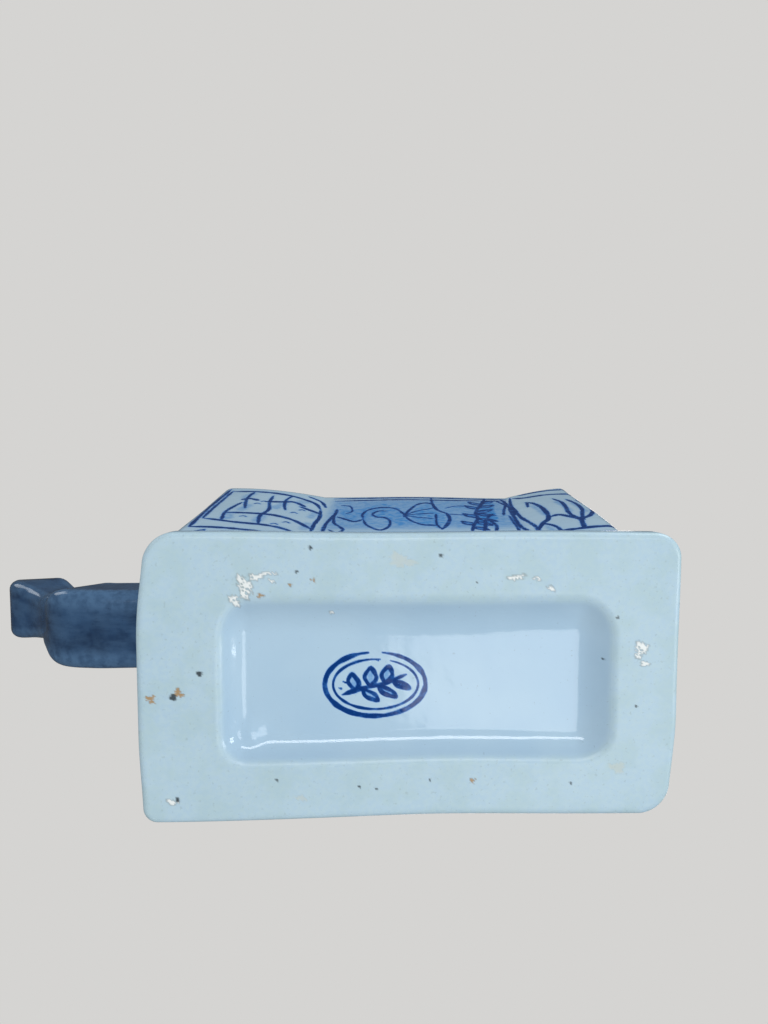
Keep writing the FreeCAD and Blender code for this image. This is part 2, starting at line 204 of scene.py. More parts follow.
def rounded_loop(half_x, half_y, corner, count):
    """Points round a rounded rectangle, anticlockwise from the low end of its +X side, matched by number."""
    corner = min(corner, half_x - 0.01, half_y - 0.01)
    straight_x, straight_y = half_x - corner, half_y - corner
    per_corner = max(4, count // 16)
    per_x = int(round((count - 4 * per_corner) * 0.32))
    per_y = (count - 4 * per_corner) // 2 - per_x
    sides = (
        ((half_x, -straight_y), (half_x, straight_y), per_y, (straight_x, straight_y)),
        ((straight_x, half_y), (-straight_x, half_y), per_x, (-straight_x, straight_y)),
        ((-half_x, straight_y), (-half_x, -straight_y), per_y, (-straight_x, -straight_y)),
        ((-straight_x, -half_y), (straight_x, -half_y), per_x, (straight_x, -straight_y)),
    )
    parts = []
    for quarter, (start, end, number, centre) in enumerate(sides):
        share = np.linspace(0, 1, number, endpoint=False)[:, None]
        parts.append(np.array(start)[None] * (1 - share) + np.array(end)[None] * share)
        angle = np.radians(90 * quarter + np.linspace(0, 90, per_corner, endpoint=False))
        parts.append(np.stack([centre[0] + corner * np.cos(angle), centre[1] + corner * np.sin(angle)], -1))
    return np.concatenate(parts)


def lift(loop, z):
    return np.column_stack([loop, np.full(len(loop), z)])


def loft(loops, ring=False):
    """A closed mesh through matched loops, from the first to the last; ring joins the last to the first."""
    mesh = Mesh()
    count = len(loops[0])
    index = mesh.add(np.concatenate(loops)) + np.arange(len(loops) * count).reshape(-1, count)
    if ring:
        index = np.vstack([index, index[:1]])
    index = np.hstack([index, index[:, :1]])
    mesh.quads(index)
    if not ring:
        mesh.fan(index[0, :-1], np.mean(loops[0], axis=0), flip=True)
        mesh.fan(index[-1, :-1], np.mean(loops[-1], axis=0))
    return mesh


# ---------- brushwork: strokes and washes in a flat chart
def curve_through(rows, step=0.15):
    """A smooth line through the rows, with a new row every step along their first two columns."""
    rows = np.asarray(rows, float)
    if len(rows) == 2:
        length = np.linalg.norm(rows[1] - rows[0])
        share = np.linspace(0, 1, max(2, int(length / step)))[:, None]
        return rows[0] * (1 - share) + rows[1] * share
    padded = np.vstack([2 * rows[0] - rows[1], rows, 2 * rows[-1] - rows[-2]])
    pieces = []
    for p0, p1, p2, p3 in zip(padded[:-3], padded[1:-2], padded[2:-1], padded[3:]):
        number = max(2, int(np.linalg.norm((p2 - p1)[:2]) / step) + 1)
        t = np.linspace(0, 1, number, endpoint=False)[:, None]
        pieces.append(0.5 * (2 * p1 + (p2 - p0) * t + (2 * p0 - 5 * p1 + 4 * p2 - p3) * t**2
                             + (3 * p1 - p0 - 3 * p2 + p3) * t**3))
    pieces.append(rows[-1][None])
    return np.concatenate(pieces)


def slow_noise(count, period):
    """A smooth random run of values between about -1 and 1."""
    knots = random.uniform(-1, 1, max(4, int(count / period) + 4))
    places = np.linspace(0, len(knots) - 1.001, count)
    low = places.astype(int)
    share = smooth(places - low)
    return knots[low] * (1 - share) + knots[low + 1] * share


class Chart:
    """The paint on a patch of glaze: line ink and wash, at points whose flat places are in millimetres.

    squeeze is how much shorter the brush is drawn out along the second axis than along the first.
    """

    def __init__(self, places, squeeze=1.0):
        self.squeeze = np.array([1.0, squeeze])
        self.places = np.asarray(places, float) * self.squeeze
        self.line = np.zeros(len(self.places))
        self.wash = np.zeros(len(self.places))

    def near(self, low, high):
        inside = np.all((self.places >= low) & (self.places <= high), axis=1)
        return np.nonzero(inside)[0]

    def reach(self, samples, widths):
        """For places near a run of samples: their numbers, how far outside the brush, and which sample."""
        margin = widths.max() + 1.2
        found, outside, nearest = [], [], []
        for start in range(0, len(samples), 120):
            part = samples[start:start + 121]
            wide = widths[start:start + 121]
            number = self.near(part.min(0) - margin, part.max(0) + margin)
            if not len(number):
                continue
            gap = np.linalg.norm(self.places[number][:, None, :] - part[None], axis=2) - wide[None]
            best = gap.argmin(1)
            found.append(number)
            outside.append(gap[np.arange(len(number)), best])
            nearest.append(best + start)
        if not found:
            return np.zeros(0, int), np.zeros(0), np.zeros(0, int)
        return np.concatenate(found), np.concatenate(outside), np.concatenate(nearest)

    def stroke(self, points, width=0.9, tone=0.9, soft=0.28, rough=0.18, wet=True):
        """A brush line: it swells and thins, narrows at its ends, and its ink varies along it."""
        samples = curve_through(np.asarray(points, float) * self.squeeze)
        count = len(samples)
        run = np.linspace(0, 1, count)
        swell = 1 + rough * slow_noise(count, 14)
        ends = np.minimum(1, 0.35 + run * 6) * np.minimum(1, 0.5 + (1 - run) * 6)
        widths = width / 2 * swell * ends
        number, outside, nearest = self.reach(samples, widths)
        if not len(number):
            return
        ink = smooth(0.5 - outside / (2 * soft))
        dark = tone * (1 + 0.16 * slow_noise(count, 20))
        np.maximum.at(self.line, number, np.clip(ink * dark[nearest], 0, 1))
        if wet:
            halo = np.clip(1 - np.maximum(outside, 0) / 1.1, 0, 1) ** 2 * 0.22
            np.maximum.at(self.wash, number, halo)

    def dab(self, points, width, tone, soft=0.7):
        """A broad wash laid along a line."""
        samples = curve_through(np.asarray(points, float) * self.squeeze, 0.4)
        count = len(samples)
        widths = width / 2 * (1 + 0.22 * slow_noise(count, 10))
        number, outside, nearest = self.reach(samples, widths)
        if not len(number):
            return
        cover = smooth(0.5 - outside / (2 * soft))
        rim = np.exp(-((outside + soft * 0.6) / 0.5) ** 2) * 0.14
        value = np.clip(cover * tone * (1 + 0.2 * slow_noise(count, 9))[nearest] + rim * cover, 0, 1)
        np.maximum.at(self.wash, number, value)

    def fill(self, outline, tone, soft):
        """A wash inside a closed outline, with soft edges and faint brush streaks."""
        outline = np.asarray(outline, float) * self.squeeze
        number = self.near(outline.min(0) - soft, outline.max(0) + soft)
        if not len(number):
            return
        place = self.places[number]
        inside = np.zeros(len(number), bool)
        gap = np.full(len(number), 1e9)
        for a, b in zip(outline, np.roll(outline, -1, axis=0)):
            edge = b - a
            along = np.clip(((place - a) @ edge) / max(edge @ edge, 1e-9), 0, 1)
            gap = np.minimum(gap, np.linalg.norm(place - a - along[:, None] * edge, axis=1))
            crosses = (a[1] > place[:, 1]) != (b[1] > place[:, 1])
            where = a[0] + (place[:, 1] - a[1]) * (b[0] - a[0]) / (b[1] - a[1] if b[1] != a[1] else 1e-9)
            inside ^= crosses & (place[:, 0] < where)
        signed = np.where(inside, -gap, gap)
        cover = smooth(0.5 - signed / (2 * soft))
        x, y = place.T
        grain = np.sin(y * 2.3 + np.sin(x * 0.31) * 1.6) * 0.5 + np.sin(y * 5.1 + x * 0.2) * 0.5
        np.maximum.at(self.wash, number, np.clip(cover * (tone + 0.05 * grain), 0, 1))


def spiral(centre, start_radius, end_radius, turns, start_angle):
    """Points on a spiral, for a small scroll."""
    share = np.linspace(0, 1, max(8, int(turns * 14)))
    angle = math.radians(start_angle) + turns * 2 * math.pi * share
    radius = mix(start_radius, end_radius, share)
    return np.stack([centre[0] + radius * np.cos(angle), centre[1] + radius * np.sin(angle)], -1)


def arc_points(centre, radius, first, last, count=10, squash=1.0):
    angle = np.radians(np.linspace(first, last, count))
    return np.stack([centre[0] + radius * np.cos(angle), centre[1] + squash * radius * np.sin(angle)], -1)


def set_colours(thing, name, colours):
    attribute = thing.data.color_attributes.new(name, "FLOAT_COLOR", "POINT")
    attribute.data.foreach_set("color", colours.astype(np.float32).ravel())


def set_paint(thing, line, wash, third=0):
    """Stores the line ink, the wash, and a third share: worn rim on the foot, thin glaze on cobalt, and on
    the spout also painted light and painted shade.
    """
    colours = np.ones((len(thing.data.vertices), 4))
    for column, values in enumerate((line, wash, third)):
        colours[:, column] = values
    set_colours(thing, "paint", colours)


def spread_paint(thing, chart, number, third=0):
    """Paints the first vertices of a piece, which are the chart's, and leaves the others bare."""
    line, wash = np.zeros((2, len(thing.data.vertices)))
    line[:number], wash[:number] = chart.line[:number], chart.wash[:number]
    set_paint(thing, line, wash, third)


# ---------- the pot's outline, shared by its walls and shoulder
def outline(half_x, half_y, corner, sink, bay_z, count):
    """A rounded rectangle whose long sides dip in their middle bay. Anticlockwise from the +X side."""
    loop = rounded_loop(half_x, half_y, corner, count)
    x, y = loop[:, 0], loop[:, 1]
    on_long_side = smooth((np.abs(y) - (half_y - corner)) / corner) > 0.999
    dip = sink * bay_depth(x * TOP_HALF_X / half_x, bay_z) * on_long_side
    loop[:, 1] = y - np.sign(y) * dip
    loop[:, 0] += POT_X
    return loop


def table(x, y, z):
    """A table of points from three tables of numbers, where a single row or column serves for all."""
    return np.stack(np.broadcast_arrays(x, y, z), -1)


def wall_levels():
    """The heights of a wall's rows of points."""
    return np.linspace(Z_FOOT, Z_WALL, int((Z_WALL - Z_FOOT) / FINE) + 1)[:, None]


def slab(name, side, outer, inner):
    """A closed slab between two tables of points: the object, its outer table's size, and its points."""
    mesh = Mesh()
    index = mesh.add(warp(outer)) + np.arange(outer[..., 0].size).reshape(len(outer), -1)
    back = mesh.add(warp(inner)) + np.arange(inner[..., 0].size).reshape(len(inner), -1)
    back = np.hstack([index[:, :1], back, index[:, -1:]])
    turned = side < 0
    mesh.quads(index, flip=turned)
    mesh.quads(back, flip=not turned)
    mesh.zip_chains(index[-1], back[-1], flip=turned)
    mesh.zip_chains(index[0], back[0], flip=not turned)
    return mesh.build(name), index.size, np.concatenate(mesh.points)


def long_wall(name, side):
    """A long wall with its two rounded upright corners: side is 1 for the front and -1 for the back."""
    z = wall_levels()
    half_x, half_y = half_sizes(z)
    turn = np.radians(np.linspace(0, 90, 13))[None, 1:-1]
    front_x = np.linspace(-1, 1, int(2 * TOP_HALF_X / FINE))[None, :] * (half_x - CORNER)
    front_y = -half_y + BAY_SINK * bay_depth(front_x, z)
    lead = np.linspace(0, 1, 4)[None, :]
    lead_y = mix(-(half_y - WALL), -(half_y - CORNER), lead)
    corner_x = -(half_x - CORNER) - CORNER * np.cos(turn)
    corner_y = -(half_y - CORNER) - CORNER * np.sin(turn)
    x = np.hstack([-half_x + 0 * lead, corner_x, front_x, -corner_x[:, ::-1], half_x + 0 * lead])
    y = np.hstack([lead_y, corner_y, front_y, corner_y[:, ::-1], lead_y[:, ::-1]])
    inner_x = np.linspace(-1, 1, 42)[None, 1:-1] * half_x
    inner_y = -(half_y - WALL) + BAY_SINK * bay_depth(inner_x, z)
    return slab(name, side, table(x + POT_X, y * side, z), table(inner_x + POT_X, inner_y * side, z))


def end_wall(name, side):
    """A wall between the long ones: side is 1 at the handle and -1 at the spout."""
    z = wall_levels()
    half_x, half_y = half_sizes(z)
    many = np.linspace(-1, 1, int(2 * (TOP_HALF_Y - WALL) / FINE))[None, :]
    few = np.linspace(-1, 1, 20)[None, :]
    outer = table(side * half_x + POT_X, many * (half_y - WALL), z)
    inner = table(side * (half_x - WALL) + POT_X, few * (half_y - WALL), z)
    return slab(name, side, outer, inner)


# ---------- the foot: a slab with a recess under it
FOOT_X = (foot_high[0] - foot_low[0]) / 2
FOOT_Y = (foot_high[1] - foot_low[1]) / 2
FOOT_Z = foot_high[2]
FOOT_EDGE = 1.7
# Each corner of the slab: which way it lies in X and in Y, and its radius.
FOOT_CORNERS = ((-1, -1, 6.4), (1, -1, 5.4), (1, 1, 6.6), (-1, 1, 3.2))
# The distance between the foot's points, and the smaller one round the mark.
FOOT_STEP = 0.36
MARK_STEP = 0.22
EDGE_STEPS = 7
RECESS_DEPTH = 4.0
# The low and high corners of the recess at its mouth and at its floor, the share of its side where it turns
# from the outer roll to the inner one, and how far glaze has pooled in one corner.
RECESS_OUTER = ((-41.4, -19.4), (45.6, 20.2))
RECESS_FLOOR = ((-34.8, -8.4), (36.8, 13.4))
RECESS_KNEE = 0.3
RECESS_SAG = 0.95
MARK_MIDDLE = (-7.2, 2.6)
MARK_SIZE = (11.6, 7.9)


def foot_outline(x, y):
    """Moves the points of a regular rounded rectangle onto the slab's uneven hand-cut outline."""
    across, along = x / FOOT_X, y / FOOT_Y
    left = smooth((-across + 0.1) / 1.1)
    right = smooth((across + 0.1) / 1.1)
    back = smooth((along + 0.1) / 1.1)
    front = smooth((-along + 0.1) / 1.1)
    bow_left = 2.0 * smooth((-along - 0.2) / 0.8) ** 1.3 + 0.7 * smooth((along - 0.4) / 0.6)
    bow_right = 0.45 + 1.5 * smooth((along - 0.25) / 0.75) + 0.1 * np.cos(along * 4)
    bow_back = 0.05 + 1.75 * smooth((across + 0.9) / 1.1) + 0.05 * np.sin(across * 7)
    bow_front = 1.15 + 0.15 * np.cos(across * 5.0 + 0.5)
    return x + left * bow_left - right * bow_right, y + front * bow_front - back * bow_back


def graded(half, middle, fine_half):
    """Places along one axis: close round the mark and by the slab's two edges, and wider elsewhere."""
    fine_low, fine_high = middle - fine_half, middle + fine_half
    fine = np.linspace(fine_low, fine_high, int((fine_high - fine_low) / MARK_STEP) + 1)
    rim = half - FOOT_EDGE * 1.15
    turn = np.linspace(0, 1, EDGE_STEPS + 1)[1:]
    rim_places = rim + (half - rim) * np.sin(turn * math.pi / 2)
    low = np.linspace(-rim, fine_low, int((fine_low + rim) / FOOT_STEP) + 1)[:-1]
    high = np.linspace(fine_high, rim, int((rim - fine_high) / FOOT_STEP) + 1)[1:]
    return np.concatenate([-rim_places[::-1], low, fine, high, rim_places])


def square_to_corner(x, y):
    """Bends a rectangular grid so that its border follows rounded corners, each with its own radius."""
    for sign_x, sign_y, radius in FOOT_CORNERS:
        a = (sign_x * x - (FOOT_X - radius)) / radius
        b = (sign_y * y - (FOOT_Y - radius)) / radius
        inside = (a > 0) & (b > 0)
        a, b = np.clip(a, 0, 1), np.clip(b, 0, 1)
        moved_x = sign_x * (FOOT_X - radius + radius * a * np.sqrt(1 - b * b / 2))
        moved_y = sign_y * (FOOT_Y - radius + radius * b * np.sqrt(1 - a * a / 2))
        x, y = np.where(inside, moved_x, x), np.where(inside, moved_y, y)
    return x, y


def edge_share(x, y):
    """0 at the slab's outline and 1 once inside by the width of its rounded edge."""
    gap = np.minimum(FOOT_X - np.abs(x), FOOT_Y - np.abs(y))
    for sign_x, sign_y, radius in FOOT_CORNERS:
        a = sign_x * x - (FOOT_X - radius)
        b = sign_y * y - (FOOT_Y - radius)
        round_gap = radius - np.hypot(a, b)
        gap = np.where((a > 0) & (b > 0), round_gap, gap)
    return np.clip(gap / FOOT_EDGE, 0, 1)


def recess_depth(x, y):
    """How far the glaze lies above the rim at each place under the foot."""
    (outer_left, outer_front), (outer_right, outer_back) = RECESS_OUTER
    (left, front), (right, back) = RECESS_FLOOR
    wave = 0.35 * np.sin(x * 0.09 + 0.5)
    front, back = front + wave, back - wave * 0.6
    over_x = np.maximum((left - x) / (left - outer_left), (x - right) / (outer_right - right))
    over_y = np.maximum((front - y) / (front - outer_front), (y - back) / (outer_back - back))
    over_x, over_y = np.maximum(over_x, 0), np.maximum(over_y, 0)
    share = np.clip(1 - np.hypot(over_x, over_y), 0, 1)
    upper = 1 - (1 - share) ** 2 / (1 - RECESS_KNEE)
    roll = np.where(share > RECESS_KNEE, upper, share ** 2 / RECESS_KNEE)
    floor_swell = 0.18 * np.sin(x * 0.05 + 1.0) * np.cos(y * 0.12) * smooth(share * 1.2 - 0.2)
    sag = RECESS_SAG * np.exp(-((x - left) ** 2 + (y - back) ** 2) / 7.0)
    return RECESS_DEPTH * roll + (floor_swell - sag) * (share > 0)


# Flaws in the glaze of the foot. A scar has a place, two half sizes and a turn in degrees, a speck a place
# and a radius, and a stain a place and two half sizes.
SCARS = (
    (-37.3, -17.4, 1.9, 1.1, 55), (-35.4, -20.4, 1.7, 3.3, -24), (-33.2, -22.7, 1.9, 0.8, 5),
    (-30.4, -23.5, 2.6, 0.5, -4), (-29.6, -21.8, 1.1, 0.4, 20), (22.8, -22.6, 2.4, 0.7, -8),
    (27.2, -22.3, 1.2, 0.5, 5), (30.2, -20.2, 1.2, 0.6, 30), (49.8, -6.4, 1.6, 2.3, 15),
    (50.8, -3.2, 1.2, 0.7, 0), (-51.4, 27.2, 1.6, 0.7, 10), (-16.6, -14.4, 0.7, 0.5, 0),
)
DARK_SPECKS = (
    (-44.6, -1.1, 0.82), (-50.3, 4.1, 0.95), (-50.3, 26.6, 0.6), (-21.5, -29.2, 0.6), (6.7, -27.6, 0.5),
    (-24.4, -24.0, 0.45), (44.6, -13.6, 0.42), (42.3, -3.8, 0.36), (49.1, 6.5, 0.4), (-10.7, 24.9, 0.45),
    (-7.0, 25.6, 0.42), (4.6, 23.9, 0.36), (-28.6, 22.8, 0.34), (36.0, 24.6, 0.34), (14.4, -21.6, 0.32),
)
RUST_SPECKS = ((-55.0, 4.4, 1.1), (-49.2, 3.2, 1.2), (-20.7, -22.1, 0.6), (-31.9, -18.5, 0.75),
               (14.1, 24.1, 0.65), (-25.6, -21.0, 0.5))
STAINS = ((-1.7, -26.5, 3.2, 1.6), (-23.4, 27.0, 1.5, 0.7), (46.0, 21.0, 2.0, 1.4))
# The flaws' colours, in linear light.
SCAR_EDGE = np.array([0.42, 0.34, 0.22])
SCAR_MIDDLE = np.array([1.0, 0.99, 0.95])
STAIN = np.array([0.72, 0.62, 0.40])
RUST = np.array([0.48, 0.27, 0.10])
SOOT = np.array([0.02, 0.025, 0.03])
# The slab's side above its lower edge: how far it is drawn in, at each height.
FOOT_SIDE = (
    (0.0, 3.4), (0.05, 5.4), (0.25, 7.2), (0.55, 8.4), (1.15, 9.2), (2.1, 9.68), (3.4, 9.84), (8.0, 9.95),
)


def blot(x, y, centre, size, turn, ragged):
    """1 inside a ragged patch and 0 outside."""
    angle = math.radians(turn)
    u = (x - centre[0]) * math.cos(angle) + (y - centre[1]) * math.sin(angle)
    v = -(x - centre[0]) * math.sin(angle) + (y - centre[1]) * math.cos(angle)
    around = np.arctan2(v / size[1], u / size[0])
    phase = centre[0] * 1.7 + centre[1]
    edge = 1 + ragged * (0.5 * np.sin(3 * around + phase) + 0.3 * np.sin(7 * around + phase * 2)
                         + 0.25 * np.sin(13 * around - phase))
    return smooth((edge - np.hypot(u / size[0], v / size[1])) / 0.35)


def foot_marks(x, y):
    """Colour and strength of the flaws at each place, and how far each stands out of the glaze."""
    colour = np.zeros(x.shape + (4,))
    height = np.zeros(x.shape)
    grain = np.sin(x * 5.3 + np.sin(y * 4.1) * 1.9) * np.sin(y * 6.1 + np.sin(x * 3.7) * 1.7)
    for *centre, wide, high, turn in SCARS:
        patch = blot(x, y, centre, (wide, high), turn, 0.32) * smooth(grain * 1.5 + 1.3)
        tint = mix(SCAR_EDGE, SCAR_MIDDLE, smooth((patch - 0.3) / 0.4)[..., None])
        colour[..., :3] = mix(colour[..., :3], tint, patch[..., None])
        colour[..., 3] = np.maximum(colour[..., 3], patch * 0.95)
        height = np.maximum(height, patch * (0.10 + 0.16 * smooth(grain + 0.5)))
    for *centre, wide, high in STAINS:
        patch = blot(x, y, centre, (wide, high), 15, 0.4) * 0.28
        colour[..., :3] = mix(colour[..., :3], STAIN, (patch > 0.02)[..., None])
        colour[..., 3] = np.maximum(colour[..., 3], patch)
    for group, tint, ragged in ((RUST_SPECKS, RUST, 0.6), (DARK_SPECKS, SOOT, 0.18)):
        for *centre, radius in group:
            patch = blot(x, y, centre, (radius, radius * 0.85), 20, ragged)
            colour[..., :3] = np.where((patch > 0.01)[..., None], tint, colour[..., :3])
            colour[..., 3] = np.maximum(colour[..., 3], patch * 0.9)
            height = np.minimum(height, 0) - 0.10 * patch + np.maximum(height, 0)
    return colour, height


def make_foot():
    """The slab: its face with the recess, the mark and the flaws, then its side and its top."""
    xs = graded(FOOT_X, MARK_MIDDLE[0], MARK_SIZE[0] + 0.6)
    ys = graded(FOOT_Y, MARK_MIDDLE[1], MARK_SIZE[1] + 0.6)
    x, y = square_to_corner(*np.meshgrid(xs, ys))
    share = edge_share(x, y)
    rounding = FOOT_EDGE * (1 - np.sqrt(np.clip(1 - (1 - share) ** 2, 0, 1)))
    colour, height = foot_marks(x, y)
    rim_wave = 0.10 + 0.06 * np.sin(x * 0.11 + 0.4) + 0.04 * np.sin(y * 0.33 + x * 0.05)
    recess = recess_depth(x, y)
    z = np.maximum(rounding + recess + rim_wave * smooth(share) - height * 0.35, 0.0)
    mesh = Mesh()
    index = mesh.add(table(*foot_outline(x, y), z)) + np.arange(x.size).reshape(x.shape)
    mesh.quads(index, flip=True)
    ring = np.concatenate([index[0, :-1], index[:-1, -1], index[-1, :0:-1], index[:0:-1, 0]])
    edge = np.concatenate(mesh.points)[ring]
    for inset, level in FOOT_SIDE:
        loop = edge * np.array([1 - inset / FOOT_X, 1 - inset / FOOT_Y, 0.0]) + np.array([0.0, 0.0, level])
        above = mesh.add(loop) + np.arange(len(loop))
        mesh.quads(np.stack([np.append(ring, ring[0]), np.append(above, above[0])], 0))
        ring = above
    mesh.fan(ring, (0.0, 0.0, FOOT_Z - 0.05))
    thing = mesh.build("foot_slab_glazed", sharp=60)
    chart = Chart(np.column_stack([x.ravel(), y.ravel()]))
    paint_mark(chart)
    side_z = np.concatenate(mesh.points)[x.size:, 2]
    worn = np.concatenate([1 - smooth(recess.ravel() / 1.3), 1 - smooth((side_z - 1.5) / 3.0)])
    spread_paint(thing, chart, x.size, worn)
    marks = np.zeros((len(worn), 4))
    marks[:x.size] = colour.reshape(-1, 4)
    set_colours(thing, "marks", marks)
    return thing


def paint_mark(chart):
    """A small blue leaf sprig inside a double ring, on the floor of the recess."""
    cx, cy = MARK_MIDDLE
    wide, high = MARK_SIZE

    def at(*pairs):
        return [(cx + u * wide, cy + v * high) for u, v in pairs]

    ink = dict(tone=0.95, soft=0.16, rough=0.22, wet=False)
    outer_ring = arc_points((cx, cy), wide - 0.6, -82, 262, 40, (high - 0.5) / (wide - 0.6))
    inner_ring = arc_points((cx + 0.1, cy), wide - 2.3, -70, 276, 36, (high - 2.1) / (wide - 2.3))
    chart.stroke(outer_ring, 1.1, **ink)
    chart.stroke(inner_ring, 0.62, **ink)
    chart.stroke(at((-0.62, 0.30), (-0.25, 0.12), (0.15, -0.02), (0.58, -0.28)), 1.0, **ink)
    # each leaf: where it leaves the stem, its tip and how far it swells
    leaves = ((-0.38, 0.18, -0.44, -0.34, 0.10), (-0.10, 0.07, -0.08, -0.52, 0.11),
              (0.18, -0.03, 0.26, -0.56, 0.10), (-0.24, 0.12, 0.06, 0.50, -0.09),
              (0.06, 0.02, 0.40, 0.40, -0.09), (0.34, -0.12, 0.66, 0.14, -0.08))
    for u, v, tip_u, tip_v, bend in leaves:
        mid_u, mid_v = (u + tip_u) / 2, (v + tip_v) / 2
        chart.stroke(at((u, v), (mid_u - bend, mid_v), (tip_u, tip_v)), 0.85, **ink)
        chart.stroke(at((u, v), (mid_u + bend, mid_v + 0.04), (tip_u, tip_v)), 0.95, **ink)
        chart.dab(at((u, v), (tip_u * 0.9 + u * 0.1, tip_v * 0.9 + v * 0.1)), 1.2, 0.45, soft=0.4)
    for u, v in ((-0.68, 0.10), (-0.60, -0.08), (0.02, -0.72)):
        chart.stroke(at((u, v), (u + 0.035, v + 0.02)), 1.1, **ink)


# ---------- painted panels
def leaf(chart, base, tip, wide, width=0.7, wash=0.5):
    """A pointed leaf: two brush arcs, a wash between them and a thin vein."""
    base, tip = np.array(base, float), np.array(tip, float)
    along = tip - base
    side = np.array([-along[1], along[0]]) / max(np.hypot(*along), 1e-6) * wide / 2
    for sign in (-1, 1):
        chart.stroke([base, base + along * 0.42 + sign * side, tip], width * (0.85 if sign < 0 else 1.15))
    chart.dab([base + along * 0.2, base + along * 0.75], wide * 0.75, wash)
    chart.stroke([base, base + along * 0.78], width * 0.5, 0.7)


def bloom(chart, centre, radius, turn, width):
    """A small open flower: six rounded petals, a wash in each and a dark heart."""
    centre = np.array(centre, float)
    for number in range(6):
        angle = math.radians(turn + 60 * number)
        way = np.array([math.cos(angle), math.sin(angle)])
        side = np.array([-way[1], way[0]])
        heart = centre + way * radius * 0.25
        cheek = centre + way * radius * 0.7
        bulge = side * radius * 0.42
        chart.stroke([heart, cheek - bulge, centre + way * radius, cheek + bulge, heart], width)
        chart.dab([centre + way * radius * 0.5, centre + way * radius * 0.8], radius * 0.4, 0.35)
    chart.stroke([centre - 0.15, centre + 0.15], radius * 0.4, 1.0)


def spray(chart, places, leaves, wide):
    """A curving stem with leaves springing from it. Each leaf is (share of the stem, tip x, tip y)."""
    chart.stroke(places, 0.85)
    path = curve_through(places, 0.3)
    for share, tip_x, tip_y in leaves:
        leaf(chart, path[int(share * (len(path) - 1))], (tip_x, tip_y), wide)


def crisp_brush(chart):
    """A brush for the long walls, whose lines have crisp edges."""
    def draw(points, width=0.9, tone=0.95):
        chart.stroke(points, width * 1.12, tone, soft=0.22)
    return draw


def leaf_band(chart, starts, low, high, wide, scroll_z, scroll):
    """A row of slanting leaves from low to high, with a small scroll after each."""
    draw = crisp_brush(chart)
    for u in starts:
        leaf(chart, (u, low), (u + 2.2, high), wide, 0.5, 0.4)
        draw(spiral((u + 3.8, scroll_z), 0.3, scroll, 1.1, 200), 0.45)


def paint_low_bands(chart):
    """The corner lines, a low border of small arches and two bands of leaves."""
    ink = crisp_brush(chart)
    ink([(-55.4, 11), (-55.6, 45), (-55.9, 83)], 0.5)
    ink([(52.3, 11), (52.7, 45), (53.0, 83)], 0.6)
    for u in np.arange(-51.0, 51.0, 4.4):
        ink(arc_points((u, 11.2), 2.0, 10, 170, 8, 0.9), 0.5, 0.8)
        chart.dab([(u, 11.4), (u, 12.0)], 1.4, 0.4)
    ink([(-24.6, 18.6), (0, 17.8), (29, 18.2)], 0.8)
    leaf_band(chart, np.arange(-20.5, 29.0, 5.4), 20.6, 29.4, 2.6, 25.2, 1.5)
    leaf_band(chart, np.arange(-50.5, -27.0, 5.4), 17.4, 24.2, 2.4, 20.6, 1.4)


def paint_left_panel(chart):
    """A ruled frame and a broken lattice, with thin washes between its bars and small ticks."""
    ink = crisp_brush(chart)
    for low, high in (((-46.0, 40), (-46.6, 44)), ((-38.4, 38), (-37.8, 47)), ((-26.0, 38), (-25.4, 44)),
                      ((-46.4, 70), (-45.0, 76)), ((-36.0, 60), (-34.6, 66)), ((-25.4, 54), (-24.6, 60)),
                      ((-30.0, 72), (-27.0, 74)), ((-44.4, 52), (-43.6, 58))):
        chart.dab([low, high], 2.6, 0.34, soft=1.0)
    ticks = ((-41.6, 62), (-40.2, 66), (-30.4, 56), (-28.6, 61), (-42.4, 43), (-31.0, 42.5), (-33.6, 38.6))
    for u, v in ticks:
        ink([(u - 0.9, v - 0.8), (u, v + 0.6), (u + 1.0, v - 0.4)], 0.45, 0.8)
    ink([(-53, 82.8), (-53.4, 55.8), (-52.6, 26.3)], 1.0)
    ink([(-51.8, 79.8), (-52, 55.8), (-51.7, 36.8)], 0.8)
    ink([(-52.6, 26.3), (-45.4, 27.3), (-37.4, 27.8), (-30.4, 26.8)], 1.0)
    ink([(-51.7, 36.8), (-43.4, 35), (-35.4, 35.8), (-30.4, 34.3), (-26, 29.8)], 1.0)
    ink([(-47.8, 45.8), (-43.4, 47.3), (-38.4, 48.8), (-34.4, 49), (-29.4, 46.3), (-24.2, 39.3)], 1.1)
    ink([(-45, 78.8), (-45.6, 71.8), (-45.2, 63.8), (-43.8, 53.8)], 0.85)
    ink([(-46, 61.8), (-47.2, 53.8), (-47.8, 45.8), (-46.8, 36.3)], 0.9)
    ink([(-38.8, 75.8), (-38.6, 65.8), (-37.4, 55.8), (-38.4, 45.8), (-37.4, 36.3)], 0.95)
    ink([(-33.2, 78.8), (-34.4, 71.8), (-34, 63.8), (-33, 57.8)], 0.8)
    ink([(-46.8, 65.8), (-44.8, 68.3), (-42, 66.8)], 1.1)
    ink([(-39.8, 65.8), (-35.4, 68.3), (-31.8, 70.3), (-28.2, 66.3)], 1.2)
    ink([(-29.8, 65.3), (-26, 62.3), (-23.6, 60.3)], 1.0)
    ink([(-51.4, 78.3), (-43.4, 79.8), (-35.4, 79.3), (-29.4, 76.3), (-25.4, 72.3), (-23.6, 65.8)], 1.0)
    ink([(-23.6, 65.8), (-23.1, 55.8), (-23.8, 45.8), (-24, 36.8)], 0.9)
    ink([(-28.4, 81.4), (-24.2, 76.8), (-22.2, 68.8)], 0.8)


